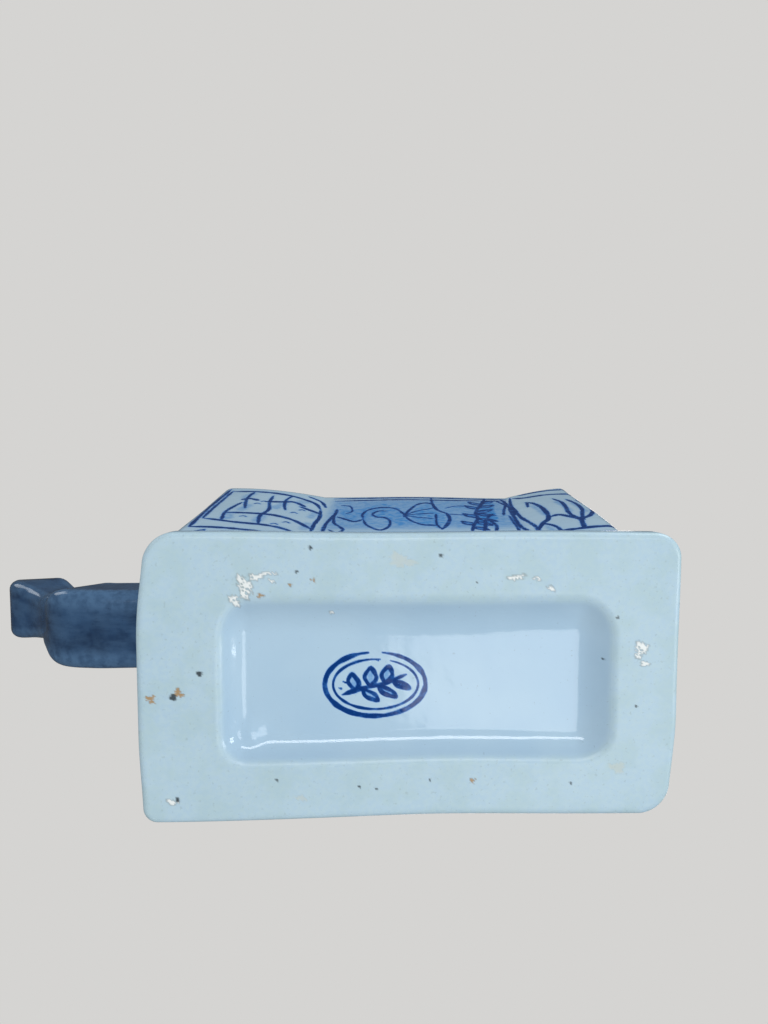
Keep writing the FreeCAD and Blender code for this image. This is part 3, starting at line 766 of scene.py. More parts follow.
def wash_bay(chart):
    """The washes of the middle bay: two over all of it, then a cloud, a tulip and three leafy places."""
    chart.fill([(-21.4, 39.8), (-20.4, 78.8), (32.1, 79.3), (31.6, 39.8)], 0.62, soft=2.5)
    chart.fill([(-21.4, 34.8), (-20.4, 78.8), (32.1, 79.3), (31.6, 34.8)], 0.16, soft=1.0)
    chart.fill([(-18.9, 67.8), (-13.4, 66.8), (-4.4, 74.8), (0.6, 65.8), (1.1, 55.8), (3.6, 45.8),
                (-1.4, 40.8), (-4.4, 50.8), (-8.4, 52.8), (-11.4, 46.8), (-15.4, 50.8),
                (-18.4, 57.8)], 0.82, soft=1.6)
    chart.fill([(0.9, 55.8), (3.6, 65.8), (8.6, 74.8), (11.1, 62.8), (13.1, 55.8), (12.1, 45.8),
                (9.6, 39.8), (3.6, 45.8)], 0.82, soft=1.4)
    chart.fill([(13.1, 67.8), (17.6, 71.8), (24.6, 69.8), (24.6, 64.8), (17.6, 64.8)], 0.75, soft=1.2)
    chart.fill([(13.1, 58.8), (18.6, 59.8), (23.6, 57.8), (23.6, 52.8), (16.6, 53.3)], 0.7, soft=1.2)
    chart.fill([(18.6, 42.8), (21.1, 57.8), (23.6, 71.8), (27.1, 80.8), (29, 73.8), (27.6, 61.8),
                (27.1, 51.8), (24.6, 45.8), (22.6, 41.8)], 1.0, soft=0.9)


def paint_bay(chart):
    """The lines of the middle bay: its frame, a leaf, a scroll, a tulip and a leafy stem."""
    ink = crisp_brush(chart)
    ink([(-20.4, 82), (-1.4, 82.6), (14.6, 82.4), (33.6, 81.8)], 0.9)
    ink([(-20, 78.4), (-1.4, 79.2), (14.6, 78.8), (33.2, 79.2)], 0.8)
    # The bay's lower border line, partly painted shade along the edge of the foot seen from below
    ink([(-23.8, 33.2), (-5.4, 33.8), (4.6, 34.6), (16.6, 34.4), (30.2, 33.4)], 1.0)
    ink([(-18.8, 66.8), (-18.8, 60.8), (-19.8, 53.8), (-20.8, 45.8), (-21, 36.3)], 1.0)
    ink([(-18.4, 63.8), (-19, 55.8), (-18.6, 47.8), (-16.8, 42.8), (-15.8, 38.8), (-17.4, 35.8),
         (-19.6, 39.3)], 0.75)
    ink([(-17.8, 71.8), (-15, 69.8), (-14.2, 62.8), (-15.8, 59.8)], 0.6)
    ink([(-18.2, 55.8), (-15.4, 51.8), (-13, 49), (-10.8, 51.8)], 0.75)
    ink([(-10.8, 51.8), (-11, 58.8), (-9, 64.8), (-5, 67.3), (-1.4, 64.8), (0.9, 56.8)], 0.8)
    ink([(-10.8, 51.8), (-9.6, 44.3), (-6.4, 38.6), (-4, 41.8), (-3.4, 48.8), (-4.8, 53.3), (-7, 54.3),
         (-8.2, 58.3), (-6.4, 62.3), (-3.8, 61.8)], 0.75)
    ink([(0.8, 58.3), (0.9, 53.8)], 1.0)
    ink([(0.9, 55.8), (2.4, 62.8), (5.2, 71.3), (8, 73.8), (9.4, 71.8)], 0.85)
    ink([(10, 81.8), (9.8, 72.8), (10.4, 64.8), (11.4, 61.3), (13, 57.8), (13.1, 50.8), (11.8, 44.3),
         (10.1, 39.3)], 1.0)
    ink([(10.1, 39.3), (9.2, 44.8), (9.4, 50.8), (9.8, 57.8)], 0.7)
    ink([(0.9, 55.8), (2.2, 49.8), (5.2, 44.8), (9, 43.8)], 0.85)
    for tip_x, tip_z in ((9.4, 65.8), (9.2, 58.8), (9, 51.8)):
        ink([(0.9, 55.8), (4.2, mix(55.8, tip_z, 0.55)), (tip_x, tip_z)], 0.5)
    ink([(13, 65.8), (16.6, 69.4), (21, 68.8), (24.2, 65.8)], 0.55, 0.8)
    ink([(13.2, 57.8), (17.2, 56.8), (20.6, 57.3), (24, 53.8)], 0.55, 0.8)
    ink([(17.4, 35.3), (19, 43.8), (21, 51.8), (21.2, 58.8), (23, 66.8), (25, 73.8), (27, 82.8)], 1.0)
    ink([(20.2, 34.3), (22, 43.3), (23, 50.8)], 0.9)
    ink([(23.4, 34.3), (24.8, 42.8), (23.8, 51.8), (26, 57.8)], 0.9)
    leaves = ((25, 73.8, 29, 78.8), (24.2, 70.8, 21.2, 76.8), (23, 66.8, 28.4, 71.8),
              (22.6, 64.8, 19.4, 70.8), (21.2, 58.8, 27, 64.8), (21.2, 57.8, 26.6, 55.8),
              (21, 51.8, 26, 47.8), (21, 52.8, 17.6, 58.8), (20.2, 47.8, 24, 42.8),
              (19, 43.8, 16.2, 48.8), (18.8, 41.8, 22.2, 37.8))
    for x, z, tip_x, tip_z in leaves:
        leaf(chart, (x, z), (tip_x, tip_z), 2.4, 0.85, 0.9)


def paint_right_panel(chart):
    """Borders, four crescents and a branch, with a few thin washes."""
    ink = crisp_brush(chart)
    ink([(32, 82.8), (32.6, 70.8), (31.8, 61.8), (31.2, 50.8), (30.8, 42.8), (31.4, 35.8), (33, 25.8)], 1.0)
    ink([(35, 82.8), (33.4, 70.8), (33, 60.8), (32.8, 50.8), (33.6, 41.8), (34, 35.8), (33.4, 25.8)], 0.9)
    ink([(29.8, 79.8), (31.8, 71.8), (32.8, 61.8), (32, 55.8)], 1.0)
    ink([(28.8, 55.8), (30.2, 63.8), (32.2, 72.8)], 0.8)
    ink([(30.2, 55.8), (30, 45.8), (29.8, 35.8)], 0.7)
    ink([(35.6, 80.8), (38.6, 77.3), (44.6, 75.8), (54.6, 71.8)], 1.0)
    ink([(37.6, 83.2), (45.6, 82.8), (54.6, 80.8)], 0.8)
    ink([(37.4, 69.8), (39, 65.8), (39.8, 57.8), (39.4, 47.8), (38.2, 41.3), (36.2, 38.3),
         (34.2, 32.8)], 1.1)
    ink([(37.8, 68.8), (36.8, 61.8)], 0.8)
    ink([(45.2, 67.8), (46.2, 60.8), (45.6, 52.8), (44.6, 45.8), (44.8, 39.8), (46.2, 35.3)], 0.95)
    ink([(48.4, 64.8), (49.4, 56.8), (49, 48.8), (47.2, 41.3), (46, 35.8)], 0.95)
    ink([(50.8, 62.8), (52.2, 55.8), (51.6, 47.8), (49.4, 40.8), (46.6, 36.8)], 1.0)
    ink([(39.2, 43.3), (41.6, 44.3), (43.6, 40.3), (45.2, 35.8), (44.8, 31.8), (44, 26.8)], 1.1)
    ink([(34, 33.8), (36, 37.3), (37.8, 33.8), (38.4, 28.8), (38, 23.8)], 0.9)
    ink([(35.6, 27.3), (42.6, 26.4), (52, 27.3)], 1.0)
    ink([(35.6, 21.3), (42.6, 20.8), (51.6, 21.8)], 1.0)
    for x, top, low in ((38.2, 61.8, 45.8), (45, 61.8, 47.8), (48.6, 57.8, 45.8), (36.2, 34.8, 28.8)):
        chart.dab([(x, top), (x + 0.6, low)], 1.5, 0.35)


def paint_front(chart):
    """The long walls: low bands, a lattice panel, a washed bay with a scroll and a tulip, and a branch."""
    for painter in (paint_low_bands, paint_left_panel, wash_bay, paint_bay, paint_right_panel):
        painter(chart)


def paint_end(chart, spout_side):
    """The end walls: a ruled frame, a ring round the fitting, and leafy sprays."""
    ink = chart.stroke
    for inset, width in ((3.0, 0.9), (5.4, 0.65)):
        ink([(-25.5 + inset, 13 + inset), (-31.5 + inset, 81 - inset)], width)
        ink([(25.5 - inset, 13 + inset), (31.5 - inset, 81 - inset)], width)
        ink([(-25.5 + inset, 13 + inset), (25.5 - inset, 13 + inset)], width)
        ink([(-31.5 + inset, 81 - inset), (31.5 - inset, 81 - inset)], width)
    if spout_side:
        ink(arc_points((SPOUT_Y, 58.6), 14.4, 0, 360, 44, 0.98), 0.7)
        chart.dab(arc_points((SPOUT_Y, 58.6), 13.0, 0, 360, 44, 0.98), 1.8, 0.35)
        sprays = ((-1, 22), (1, 22))
    else:
        sprays = ((-1, 24), (1, 24), (-1, 58), (1, 58))
    for turn, base in sprays:
        stem = [(turn * u, base + v) for u, v in ((1.5, 0.5), (6, 5.0), (12, 6.0), (17.5, 11.0))]
        tips = ((0.22, 8.6, -1.0), (0.34, 3.4, 11.6), (0.5, 14.0, 1.4), (0.6, 9.4, 13.2), (0.8, 20.4, 6.4),
                (0.86, 14.8, 16.6), (1.0, 21.4, 15.6))
        spray(chart, stem, [(share, turn * u, base + v) for share, u, v in tips], 2.6)
        bloom(chart, (turn * 6.4, base + 16.4), 3.0, 15, 0.6)
        ink([(turn * 6.8, base + 5.6), (turn * 7.0, base + 10), (turn * 6.4, base + 13.6)], 0.6)
    if not spout_side:
        bloom(chart, (0, 24), 3.4, 0, 0.7)
    for number in range(9):
        ink(arc_points((-22 + 5.5 * number, 11.4), 2.3, 12, 168, 8, 0.75), 0.5, 0.8)


def paint_shoulder(chart):
    """Two ruled lines round the shoulder, and leaves with dots between. Places are (run, height)."""
    run = chart.places[:, 0].max()
    leaves = 44
    step = run / leaves
    chart.stroke([(0, 3.2), (run / 3, 3.2), (2 * run / 3, 3.2), (run, 3.2)], 0.7)
    for number in range(leaves):
        u = (number + 0.5) * step
        leaf(chart, (u, 4.4), (u, 11.8), 4.6, 0.7, 0.55)
        chart.stroke([(u + step / 2 - 0.2, 9.8), (u + step / 2 + 0.2, 9.9)], 0.9)
    chart.stroke([(0, 13.2), (run / 3, 13.2), (2 * run / 3, 13.2), (run, 13.2)], 0.8)


def paint_lid(chart):
    """The lid: a ruled border and four leafy sprays round the knob."""
    ink = chart.stroke
    for half_x, half_y, width in ((31.4, 18.4, 0.9), (29.2, 16.2, 0.6)):
        corner = rounded_loop(half_x, half_y, 5, 72)
        ink(np.vstack([corner, corner[:2]]), width)
    ink(arc_points((0, 0), 7.4, 0, 360, 30, 0.9), 0.7)
    for turn_x in (-1, 1):
        for turn_y in (-1, 1):
            stem = [(turn_x * u, turn_y * v) for u, v in ((8.4, 1.6), (13, 5.2), (19, 6.6), (25.2, 11.2))]
            tips = ((0.3, 10.2, 11.4), (0.42, 17.6, 1.6), (0.56, 15.8, 13.2), (0.72, 25.4, 4.2),
                    (0.84, 20.8, 13.4), (1.0, 27.2, 13.2))
            spray(chart, stem, [(share, turn_x * u, turn_y * v) for share, u, v in tips], 2.3)


# ---------- shoulder, collar and lid as rings of loops
def profile_loops(profile, sizes, count):
    """Loops for a profile of (inset, height) points. sizes gives a loop's two halves, corner and bay dip."""
    loops = []
    for inset, height in profile:
        half_x, half_y, corner, sink = sizes(inset)
        loops.append(lift(outline(half_x, half_y, corner, sink, Z_WALL, count), height))
    return loops


def shoulder_sizes(inset):
    stops = [0.0, 11.0, 23.0, 27.0]
    half_x = TOP_HALF_X - inset
    half_y = np.interp(inset, stops, [TOP_HALF_Y, 26.0, 19.0, 15.0])
    corner = np.interp(inset, stops, [CORNER, 6.0, 8.0, 4.0])
    sink = np.interp(inset, stops, [BAY_SINK, 1.4, 0.0, 0.0])
    return half_x, half_y, corner, sink


def make_shoulder():
    """The shoulder: it slopes in from the walls, drops into the mouth and comes back underneath."""
    count = 720
    path = curve_through([(0, 84.0), (-0.1, 84.8), (0.1, 85.8), (0.9, 86.7), (2.6, 87.5), (6.5, 88.9),
                          (11.0, 90.3), (14.0, 90.8), (18.5, 90.92), (23.0, 90.95), (26.2, 90.9)], 0.42)
    rim = [(26.75, 90.7), (27.0, 90.2), (27.0, 88.6), (27.0, 86.9), (26.6, 86.5)]
    loops = profile_loops(np.vstack([path, rim]), shoulder_sizes, count)
    painted = len(path)
    loops.append(lift(outline(36.0, 21.0, 5.0, 0.6, Z_WALL, count), 86.1))
    loops.append(lift(outline(TOP_HALF_X - 6, TOP_HALF_Y - 6, 3.0, BAY_SINK, Z_WALL, count), 85.0))
    loops.append(lift(outline(TOP_HALF_X - WALL, TOP_HALF_Y - WALL, 1.5, BAY_SINK, Z_WALL, count), 84.0))
    mesh = loft([warp(loop) for loop in loops], ring=True)
    thing = mesh.build("shoulder_glazed")
    run = lengths_along(loops[painted // 3])
    chart = Chart(np.column_stack([np.tile(run, painted), np.repeat(lengths_along(path), count)]))
    paint_shoulder(chart)
    spread_paint(thing, chart, painted * count)
    return thing


def plain_loop(half_x, half_y, corner, z, count=240):
    loop = rounded_loop(half_x, half_y, corner, count)
    loop[:, 0] += POT_X
    return lift(loop, z)


def make_collar():
    steps = [(33.0, 20.0, 8.8, 90.97), (32.4, 19.4, 8.3, 91.25), (32.05, 19.05, 8.0, 91.9),
             (31.9, 18.9, 8.0, 93.5), (31.95, 18.95, 8.0, 95.0), (31.6, 18.6, 7.8, 95.7),
             (31.0, 18.0, 7.3, 95.94), (29.4, 16.4, 5.6, 95.96), (28.6, 15.6, 4.8, 95.8),
             (28.1, 15.1, 4.2, 95.2), (28.0, 15.0, 4.0, 93.5), (28.0, 15.0, 4.0, 91.0),
             (30.0, 17.0, 6.0, 90.97)]
    return loft([plain_loop(*step) for step in steps], ring=True).build("neck_collar_glazed")


def cut(thing, shapes):
    """Cuts the shapes out of thing."""
    tool = join_meshes(shapes)
    change = thing.modifiers.new("holes", "BOOLEAN")
    change.operation = "DIFFERENCE"
    change.solver = "EXACT"
    change.object = tool
    graph = bpy.context.evaluated_depsgraph_get()
    made = bpy.data.meshes.new_from_object(thing.evaluated_get(graph))
    thing.modifiers.clear()
    whole, tool_mesh = thing.data, tool.data
    thing.data = made
    made.name = whole.name
    bpy.data.objects.remove(tool)
    bpy.data.meshes.remove(whole)
    bpy.data.meshes.remove(tool_mesh)
    made.set_sharp_from_angle(angle=math.radians(50))


def join_meshes(parts):
    whole = Mesh()
    for part in parts:
        start = whole.count
        whole.points += part.points
        whole.faces += [faces + start for faces in part.faces]
        whole.count += part.count
    return whole.build("cutter")


def peg(start, end, radius, count=28):
    """A round bar between two points, for cutting holes."""
    start, end = np.array(start, float), np.array(end, float)
    along = (end - start) / np.linalg.norm(end - start)
    first = np.cross(along, (0.0, 1.0, 0.0) if abs(along[1]) < 0.9 else (1.0, 0.0, 0.0))
    first /= np.linalg.norm(first)
    second = np.cross(along, first)
    angle = np.linspace(0, 2 * math.pi, count, endpoint=False)[:, None]
    loop = radius * (np.cos(angle) * first + np.sin(angle) * second)
    return loft([start + loop, end + loop])


def points_of(thing):
    values = np.zeros(len(thing.data.vertices) * 3, np.float32)
    thing.data.vertices.foreach_get("co", values)
    return values.reshape(-1, 3) / MM


VENT_X = POT_X + 18.0
VENT_RADIUS = 1.5


def make_lid_plate():
    count = 460
    path = curve_through([(1.3, 96.08), (0.4, 96.2), (0.0, 96.8), (0.0, 97.7), (0.35, 98.6), (1.3, 99.25),
                          (4.5, 100.15), (10, 100.7), (16, 100.92), (20.1, 100.97)], 0.4)
    loops = []
    for inset, height in path:
        loops.append(plain_loop(33.5 - inset, 20.5 - inset, max(0.3, 7.5 - inset * 0.35), height, count))
    thing = loft(loops).build("lid_plate_glazed")
    cut(thing, [peg((VENT_X, 0, 90), (VENT_X, 0, 104), VENT_RADIUS)])
    points = points_of(thing)
    chart = Chart(points[:, :2] - np.array([POT_X, 0]))
    paint_lid(chart)
    top = points[:, 2] > 97.0
    set_paint(thing, chart.line * top, chart.wash * top)
    return thing


def make_lid_flange():
    steps = [(27.2, 14.2, 3.4, 96.2), (27.2, 14.2, 3.4, 92.5), (27.1, 14.1, 3.3, 89.6),
             (26.7, 13.7, 3.0, 89.12), (26.0, 13.0, 2.4, 89.02), (25.1, 12.1, 1.8, 89.15),
             (24.7, 11.7, 1.4, 89.6), (24.6, 11.6, 1.2, 92.5), (24.6, 11.6, 1.2, 96.2)]
    return loft([plain_loop(*step) for step in steps[::-1]], ring=True).build("lid_flange_glazed")


def section(x, z, angle, half_high, half_wide, corner, count):
    """A rounded rectangle across a path that runs at angle in the XZ plane."""
    turn = math.radians(angle)
    high = np.array([math.sin(turn), 0.0, -math.cos(turn)])
    flat = rounded_loop(half_high, half_wide, corner, count)
    return np.array([x, 0.0, z]) + flat[:, :1] * high + flat[:, 1:] * np.array([0.0, 1.0, 0.0])


def paleness(count):
    """1 at the four corners of a section loop, where glaze runs thin, and 0 between."""
    loop = rounded_loop(1.0, 1.0, 0.25, count)
    return smooth((np.hypot(loop[:, 0], loop[:, 1]) - 1.08) / 0.2)


# Sections of the spout and the handle: the middle's x and z, which way it points in degrees, half its size
# across that way, half its size in Y, and its corner radius.
SPOUT_ROWS = (
    (-55.0, 58.7, 182.7, 11.1, 11.5, 3.6), (-57.5, 58.6, 182.5, 10.3, 10.9, 4.0),
    (-66.0, 58.0, 181.0, 9.9, 10.9, 4.2), (-76.5, 57.4, 178.5, 9.6, 11.0, 4.0),
    (-85.0, 57.2, 165.0, 9.4, 11.0, 3.6), (-91.6, 58.9, 141.0, 9.3, 10.8, 3.2),
    (-96.6, 63.2, 129.0, 7.9, 8.6, 3.0), (-101.4, 69.0, 127.5, 6.7, 6.9, 2.8),
    (-107.0, 75.2, 125.5, 7.1, 7.5, 2.6), (-113.6, 81.2, 121.0, 8.5, 8.8, 2.6),
    (-116.8, 86.2, 110.0, 7.6, 8.4, 2.4), (-117.8, 88.2, 106.0, 7.1, 8.0, 2.3),
)
SPOUT_WALL = 2.6
HANDLE_ROWS = (
    (50.9, 38.6, 8.0, 5.4, 8.4, 2.8), (53.4, 38.8, 8.0, 5.0, 8.0, 2.8), (59.0, 39.8, 12.0, 4.7, 7.8, 2.8),
    (64.8, 42.6, 38.0, 4.4, 7.7, 2.8), (68.4, 48.6, 63.0, 3.9, 7.6, 2.8), (73.4, 59.6, 65.5, 3.7, 7.5, 2.8),
    (78.2, 70.4, 68.0, 3.9, 7.6, 2.8), (81.2, 76.4, 118.0, 5.2, 7.8, 3.0),
    (76.2, 78.0, 174.0, 4.8, 7.9, 3.0), (68.0, 77.6, 181.0, 4.9, 7.9, 3.0),
    (58.4, 77.1, 181.0, 5.1, 8.0, 3.0), (55.6, 77.1, 180.0, 5.3, 8.1, 3.0),
    (53.6, 77.2, 180.0, 5.7, 8.4, 3.0),
)


def make_spout():
    count = 112
    outer = curve_through(SPOUT_ROWS, 0.9)
    inner = outer[::-1].copy()
    inner[:, 3:5] -= SPOUT_WALL
    inner[:, 5] = np.maximum(inner[:, 5] - SPOUT_WALL * 0.7, 1.0)
    tip = outer[-1]
    loops = [section(*row, count) for row in outer]
    pale = []
    for x in outer[:, 0]:
        # Painted light and shade: the belly's outer end is painted paler and the tip darker, so the spout
        # looks shaded near the wall and at its tip
        belly_painted_light = smooth((-70 - x) / 12) * smooth((97 + x) / 5)
        tip_painted_shade = smooth((-100 - x) / 6)
        pale.append(np.clip(paleness(count) * 0.75 + 0.22 * belly_painted_light - 0.2 * tip_painted_shade, 0, 1))
    for turn in (25, 50, 75, 90, 105, 130, 155):
        angle = math.radians(turn)
        row = tip.copy()
        row[3:5] -= SPOUT_WALL / 2 * (1 - math.cos(angle))
        row[5] = max(row[5] - SPOUT_WALL * 0.35 * (1 - math.cos(angle)), 1.0)
        out = SPOUT_WALL / 2 * math.sin(angle) * 0.9
        way = math.radians(tip[2])
        row[0] += math.cos(way) * out
        row[1] += math.sin(way) * out
        loops.append(section(*row, count))
        pale.append(np.full(count, 0.85 * math.sin(angle)))
    for row in inner:
        loops.append(section(*row, count))
        pale.append(np.zeros(count))
    for step in range(4):
        number = len(outer) - 4 + step
        pale[number] = np.maximum(pale[number], 0.25 + 0.12 * step)
    pale[0] = pale[1] = np.full(count, 0.6)
    loops = [loop + np.array([0.0, SPOUT_Y, 0.0]) for loop in loops]
    thing = loft(loops, ring=True).build("spout_glazed")
    set_paint(thing, 0, 0, np.concatenate(pale))
    return thing


def make_handle():
    count = 96
    rows = curve_through(HANDLE_ROWS, 0.8)
    loops = [section(*row, count) for row in rows]
    thing = loft(loops).build("handle_glazed")
    pale = np.tile(paleness(count) * 0.75, (len(rows), 1))
    pale[:2] = 0.55
    pale[-2:] = 0.55
    set_paint(thing, 0, 0, np.concatenate([pale.ravel(), [0, 0]]))
    return thing


# Sections of the knob: 0, the height, half its size in X and in Y, and its corner radius.
KNOB_ROWS = (
    (0.0, 100.85, 5.9, 5.5, 5.0), (0.0, 101.6, 5.0, 4.7, 4.3), (0.0, 103.2, 4.5, 4.3, 4.0),
    (0.0, 105.0, 5.0, 4.6, 4.2), (0.0, 106.5, 7.2, 5.8, 4.4), (0.0, 108.0, 8.6, 6.7, 4.4),
    (0.0, 109.6, 8.9, 6.9, 4.2), (0.0, 111.2, 8.1, 6.3, 3.8), (0.0, 112.8, 6.3, 5.0, 3.2),
    (0.0, 113.9, 3.9, 3.2, 2.4), (0.0, 114.35, 1.6, 1.4, 1.2),
)


def make_knob():
    rows = curve_through(KNOB_ROWS, 0.3)
    count = 96
    loops = [plain_loop(row[2], row[3], row[4], row[1], count) for row in rows]
    thing = loft(loops).build("lid_knob_glazed")
    ridge = np.exp(-((rows[:, 1] - 110.4) / 1.2) ** 2) + 0.5 * (rows[:, 1] > 113.4)
    pale = ridge[:, None] * 0.35 + paleness(count) * 0.45
    set_paint(thing, 0, 0, np.concatenate([np.clip(pale, 0, 1).ravel(), [0, 0.6]]))
    return thing


# ---------- materials
def linear(red, green, blue):
    """A colour given as 0 to 255 screen values."""
    values = []
    for value in (red, green, blue):
        value /= 255
        values.append(value / 12.92 if value <= 0.04045 else ((value + 0.055) / 1.055) ** 2.4)
    return (*values, 1.0)


class Nodes:
    """Short ways to write a node tree."""

    def __init__(self, owner):
        owner.use_nodes = True
        self.tree = owner.node_tree
        self.tree.nodes.clear()

    def paint(self):
        """The painted values of each place: the line ink, the wash and the third share."""
        source = self.add("ShaderNodeAttribute", attribute_name="paint")
        parts = self.add("ShaderNodeSeparateColor")
        self.link(source.outputs["Color"], parts.inputs["Color"])
        return parts.outputs["Red"], parts.outputs["Green"], parts.outputs["Blue"]

    def add(self, kind, **settings):
        node = self.tree.nodes.new(kind)
        for name, value in settings.items():
            setattr(node, name, value)
        return node

    def link(self, output, socket):
        self.tree.links.new(output, socket)

    def put(self, socket, value):
        if isinstance(value, bpy.types.NodeSocket):
            self.link(value, socket)
        else:
            socket.default_value = value

    def noise(self, scale, detail=3.0, stretch=None, rough=0.5):
        place = self.add("ShaderNodeTexCoord").outputs["Object"]
        if stretch:
            move = self.add("ShaderNodeMapping")
            move.inputs["Scale"].default_value = stretch
            self.link(place, move.inputs["Vector"])
            place = move.outputs["Vector"]
        node = self.add("ShaderNodeTexNoise")
        node.inputs["Scale"].default_value = scale
        node.inputs["Detail"].default_value = detail
        node.inputs["Roughness"].default_value = rough
        self.link(place, node.inputs["Vector"])
        return node.outputs["Fac"]

    def math(self, operation, first, second=0.0, clamp=False):
        node = self.add("ShaderNodeMath", operation=operation, use_clamp=clamp)
        self.put(node.inputs[0], first)
        self.put(node.inputs[1], second)
        return node.outputs[0]

    def spread(self, value, low, high, to_low=0.0, to_high=1.0):
        node = self.add("ShaderNodeMapRange", interpolation_type="SMOOTHSTEP")
        self.put(node.inputs["Value"], value)
        for name, number in zip(("From Min", "From Max", "To Min", "To Max"), (low, high, to_low, to_high)):
            node.inputs[name].default_value = number
        return node.outputs["Result"]

    def blend(self, share, first, second, kind="RGBA"):
        node = self.add("ShaderNodeMix", data_type=kind)
        self.put(node.inputs["Factor"], share)
        self.put(node.inputs["A"], first)
        self.put(node.inputs["B"], second)
        return node.outputs["Result"]

    def bump(self, height, distance, normal=None):
        node = self.add("ShaderNodeBump")
        node.inputs["Strength"].default_value = 1.0
        node.inputs["Distance"].default_value = distance
        self.put(node.inputs["Height"], height)
        if normal is not None:
            self.link(normal, node.inputs["Normal"])
        return node.outputs["Normal"]

    def finish(self, shader, kind="ShaderNodeOutputMaterial"):
        out = self.add(kind)
        self.link(shader, out.inputs["Surface"])


# The screen colours of the glazes and the paint on them.
GLAZE = linear(191, 215, 232)
GLAZE_POOLED = linear(175, 203, 226)
GLAZE_RIM = linear(203, 223, 226)
WASH = linear(44, 138, 211)
INK_THIN = linear(58, 122, 200)
INK = linear(3, 56, 124)
COBALT_DARK = linear(17, 38, 68)
COBALT = linear(42, 72, 108)
COBALT_PALE = linear(88, 120, 154)
FLECK = linear(120, 132, 140)
RIM_CLOUD = linear(186, 209, 208)
RIM_GRIT = linear(160, 176, 176)
FLOOR_TONES = (linear(243, 236, 228), linear(246, 240, 232))


def white_glaze(name, painted, marked):
    """The pale blue-white glaze: painted adds the brushwork, and marked adds the worn rim and its flaws."""
    material = bpy.data.materials.new(name)
    nodes = Nodes(material)
    line, wash, worn = nodes.paint() if painted else (None, None, None)
    colour = nodes.blend(nodes.spread(nodes.noise(45, 3), 0.35, 0.7), GLAZE, GLAZE_POOLED)
    colour = nodes.blend(0.45, GLAZE, colour)
    colour = nodes.blend(nodes.spread(nodes.noise(1500, 1), 0.73, 0.80, 0.0, 0.22), colour, FLECK)
    rough = 0.10
    if painted:
        streak = nodes.noise(700, 3)
        wash = nodes.math("MULTIPLY", wash, nodes.spread(streak, 0.3, 0.7, 0.75, 1.15), clamp=True)
        colour = nodes.blend(wash, colour, WASH)
        line = nodes.math("MULTIPLY", line, nodes.spread(streak, 0.3, 0.62, 0.78, 1.12), clamp=True)
        ink = nodes.blend(nodes.spread(line, 0.35, 0.95), INK_THIN, INK)
        colour = nodes.blend(nodes.spread(line, 0.02, 0.62), colour, ink)
    if marked:
        rim = nodes.math("MULTIPLY", worn, nodes.spread(nodes.noise(900, 3), 0.35, 0.65, 0.5, 1.0))
        colour = nodes.blend(nodes.math("MULTIPLY", rim, 0.55), colour, GLAZE_RIM)
        cloudy = nodes.math("MULTIPLY", worn, nodes.spread(nodes.noise(150, 5), 0.42, 0.62, 0.0, 0.34))
        colour = nodes.blend(cloudy, colour, RIM_CLOUD)
        gritty = nodes.math("MULTIPLY", worn, nodes.spread(nodes.noise(1250, 2), 0.62, 0.74, 0.0, 0.30))
        colour = nodes.blend(gritty, colour, RIM_GRIT)
        marks = nodes.add("ShaderNodeAttribute", attribute_name="marks")
        colour = nodes.blend(marks.outputs["Alpha"], colour, marks.outputs["Color"])
        rough = nodes.spread(worn, 0.0, 1.0, 0.10, 0.36)
    shader = nodes.add("ShaderNodeBsdfPrincipled")
    nodes.put(shader.inputs["Base Color"], colour)
    nodes.put(shader.inputs["Roughness"], rough)
    ripple = nodes.bump(nodes.noise(170, 2), 0.00010)
    nodes.link(nodes.bump(nodes.noise(1600, 2), 0.000004, ripple), shader.inputs["Normal"])
    nodes.finish(shader.outputs["BSDF"])
    return material


def cobalt_glaze():
    """The dark blue glaze, brushed on unevenly and thin at the edges; on the spout the pale share also holds
    painted light and painted shade.
    """
    material = bpy.data.materials.new("cobalt_glaze")
    nodes = Nodes(material)
    _, _, thin = nodes.paint()
    colour = nodes.blend(nodes.spread(nodes.noise(85, 5, rough=0.55), 0.3, 0.7), COBALT_DARK, COBALT)
    streak = nodes.spread(nodes.noise(210, 4, (0.35, 1.0, 0.6), 0.6), 0.36, 0.68)
    colour = nodes.blend(nodes.math("MULTIPLY", streak, 0.42), colour, COBALT_PALE)
    # The pale share: thin glaze, and on the spout also painted light and painted shade
    thin = nodes.math("MULTIPLY", thin, nodes.spread(nodes.noise(420, 3), 0.3, 0.65, 0.45, 1.0))
    colour = nodes.blend(thin, colour, COBALT_PALE)
    colour = nodes.blend(nodes.spread(nodes.noise(1400, 2), 0.68, 0.76, 0.0, 0.5), colour, COBALT_DARK)
    shader = nodes.add("ShaderNodeBsdfPrincipled")
    nodes.put(shader.inputs["Base Color"], colour)
    shader.inputs["Roughness"].default_value = 0.16
    shader.inputs["Coat Weight"].default_value = 0.5
    shader.inputs["Coat Roughness"].default_value = 0.05
    nodes.link(nodes.bump(nodes.noise(190, 3), 0.00014), shader.inputs["Normal"])
    nodes.finish(shader.outputs["BSDF"])
    return material


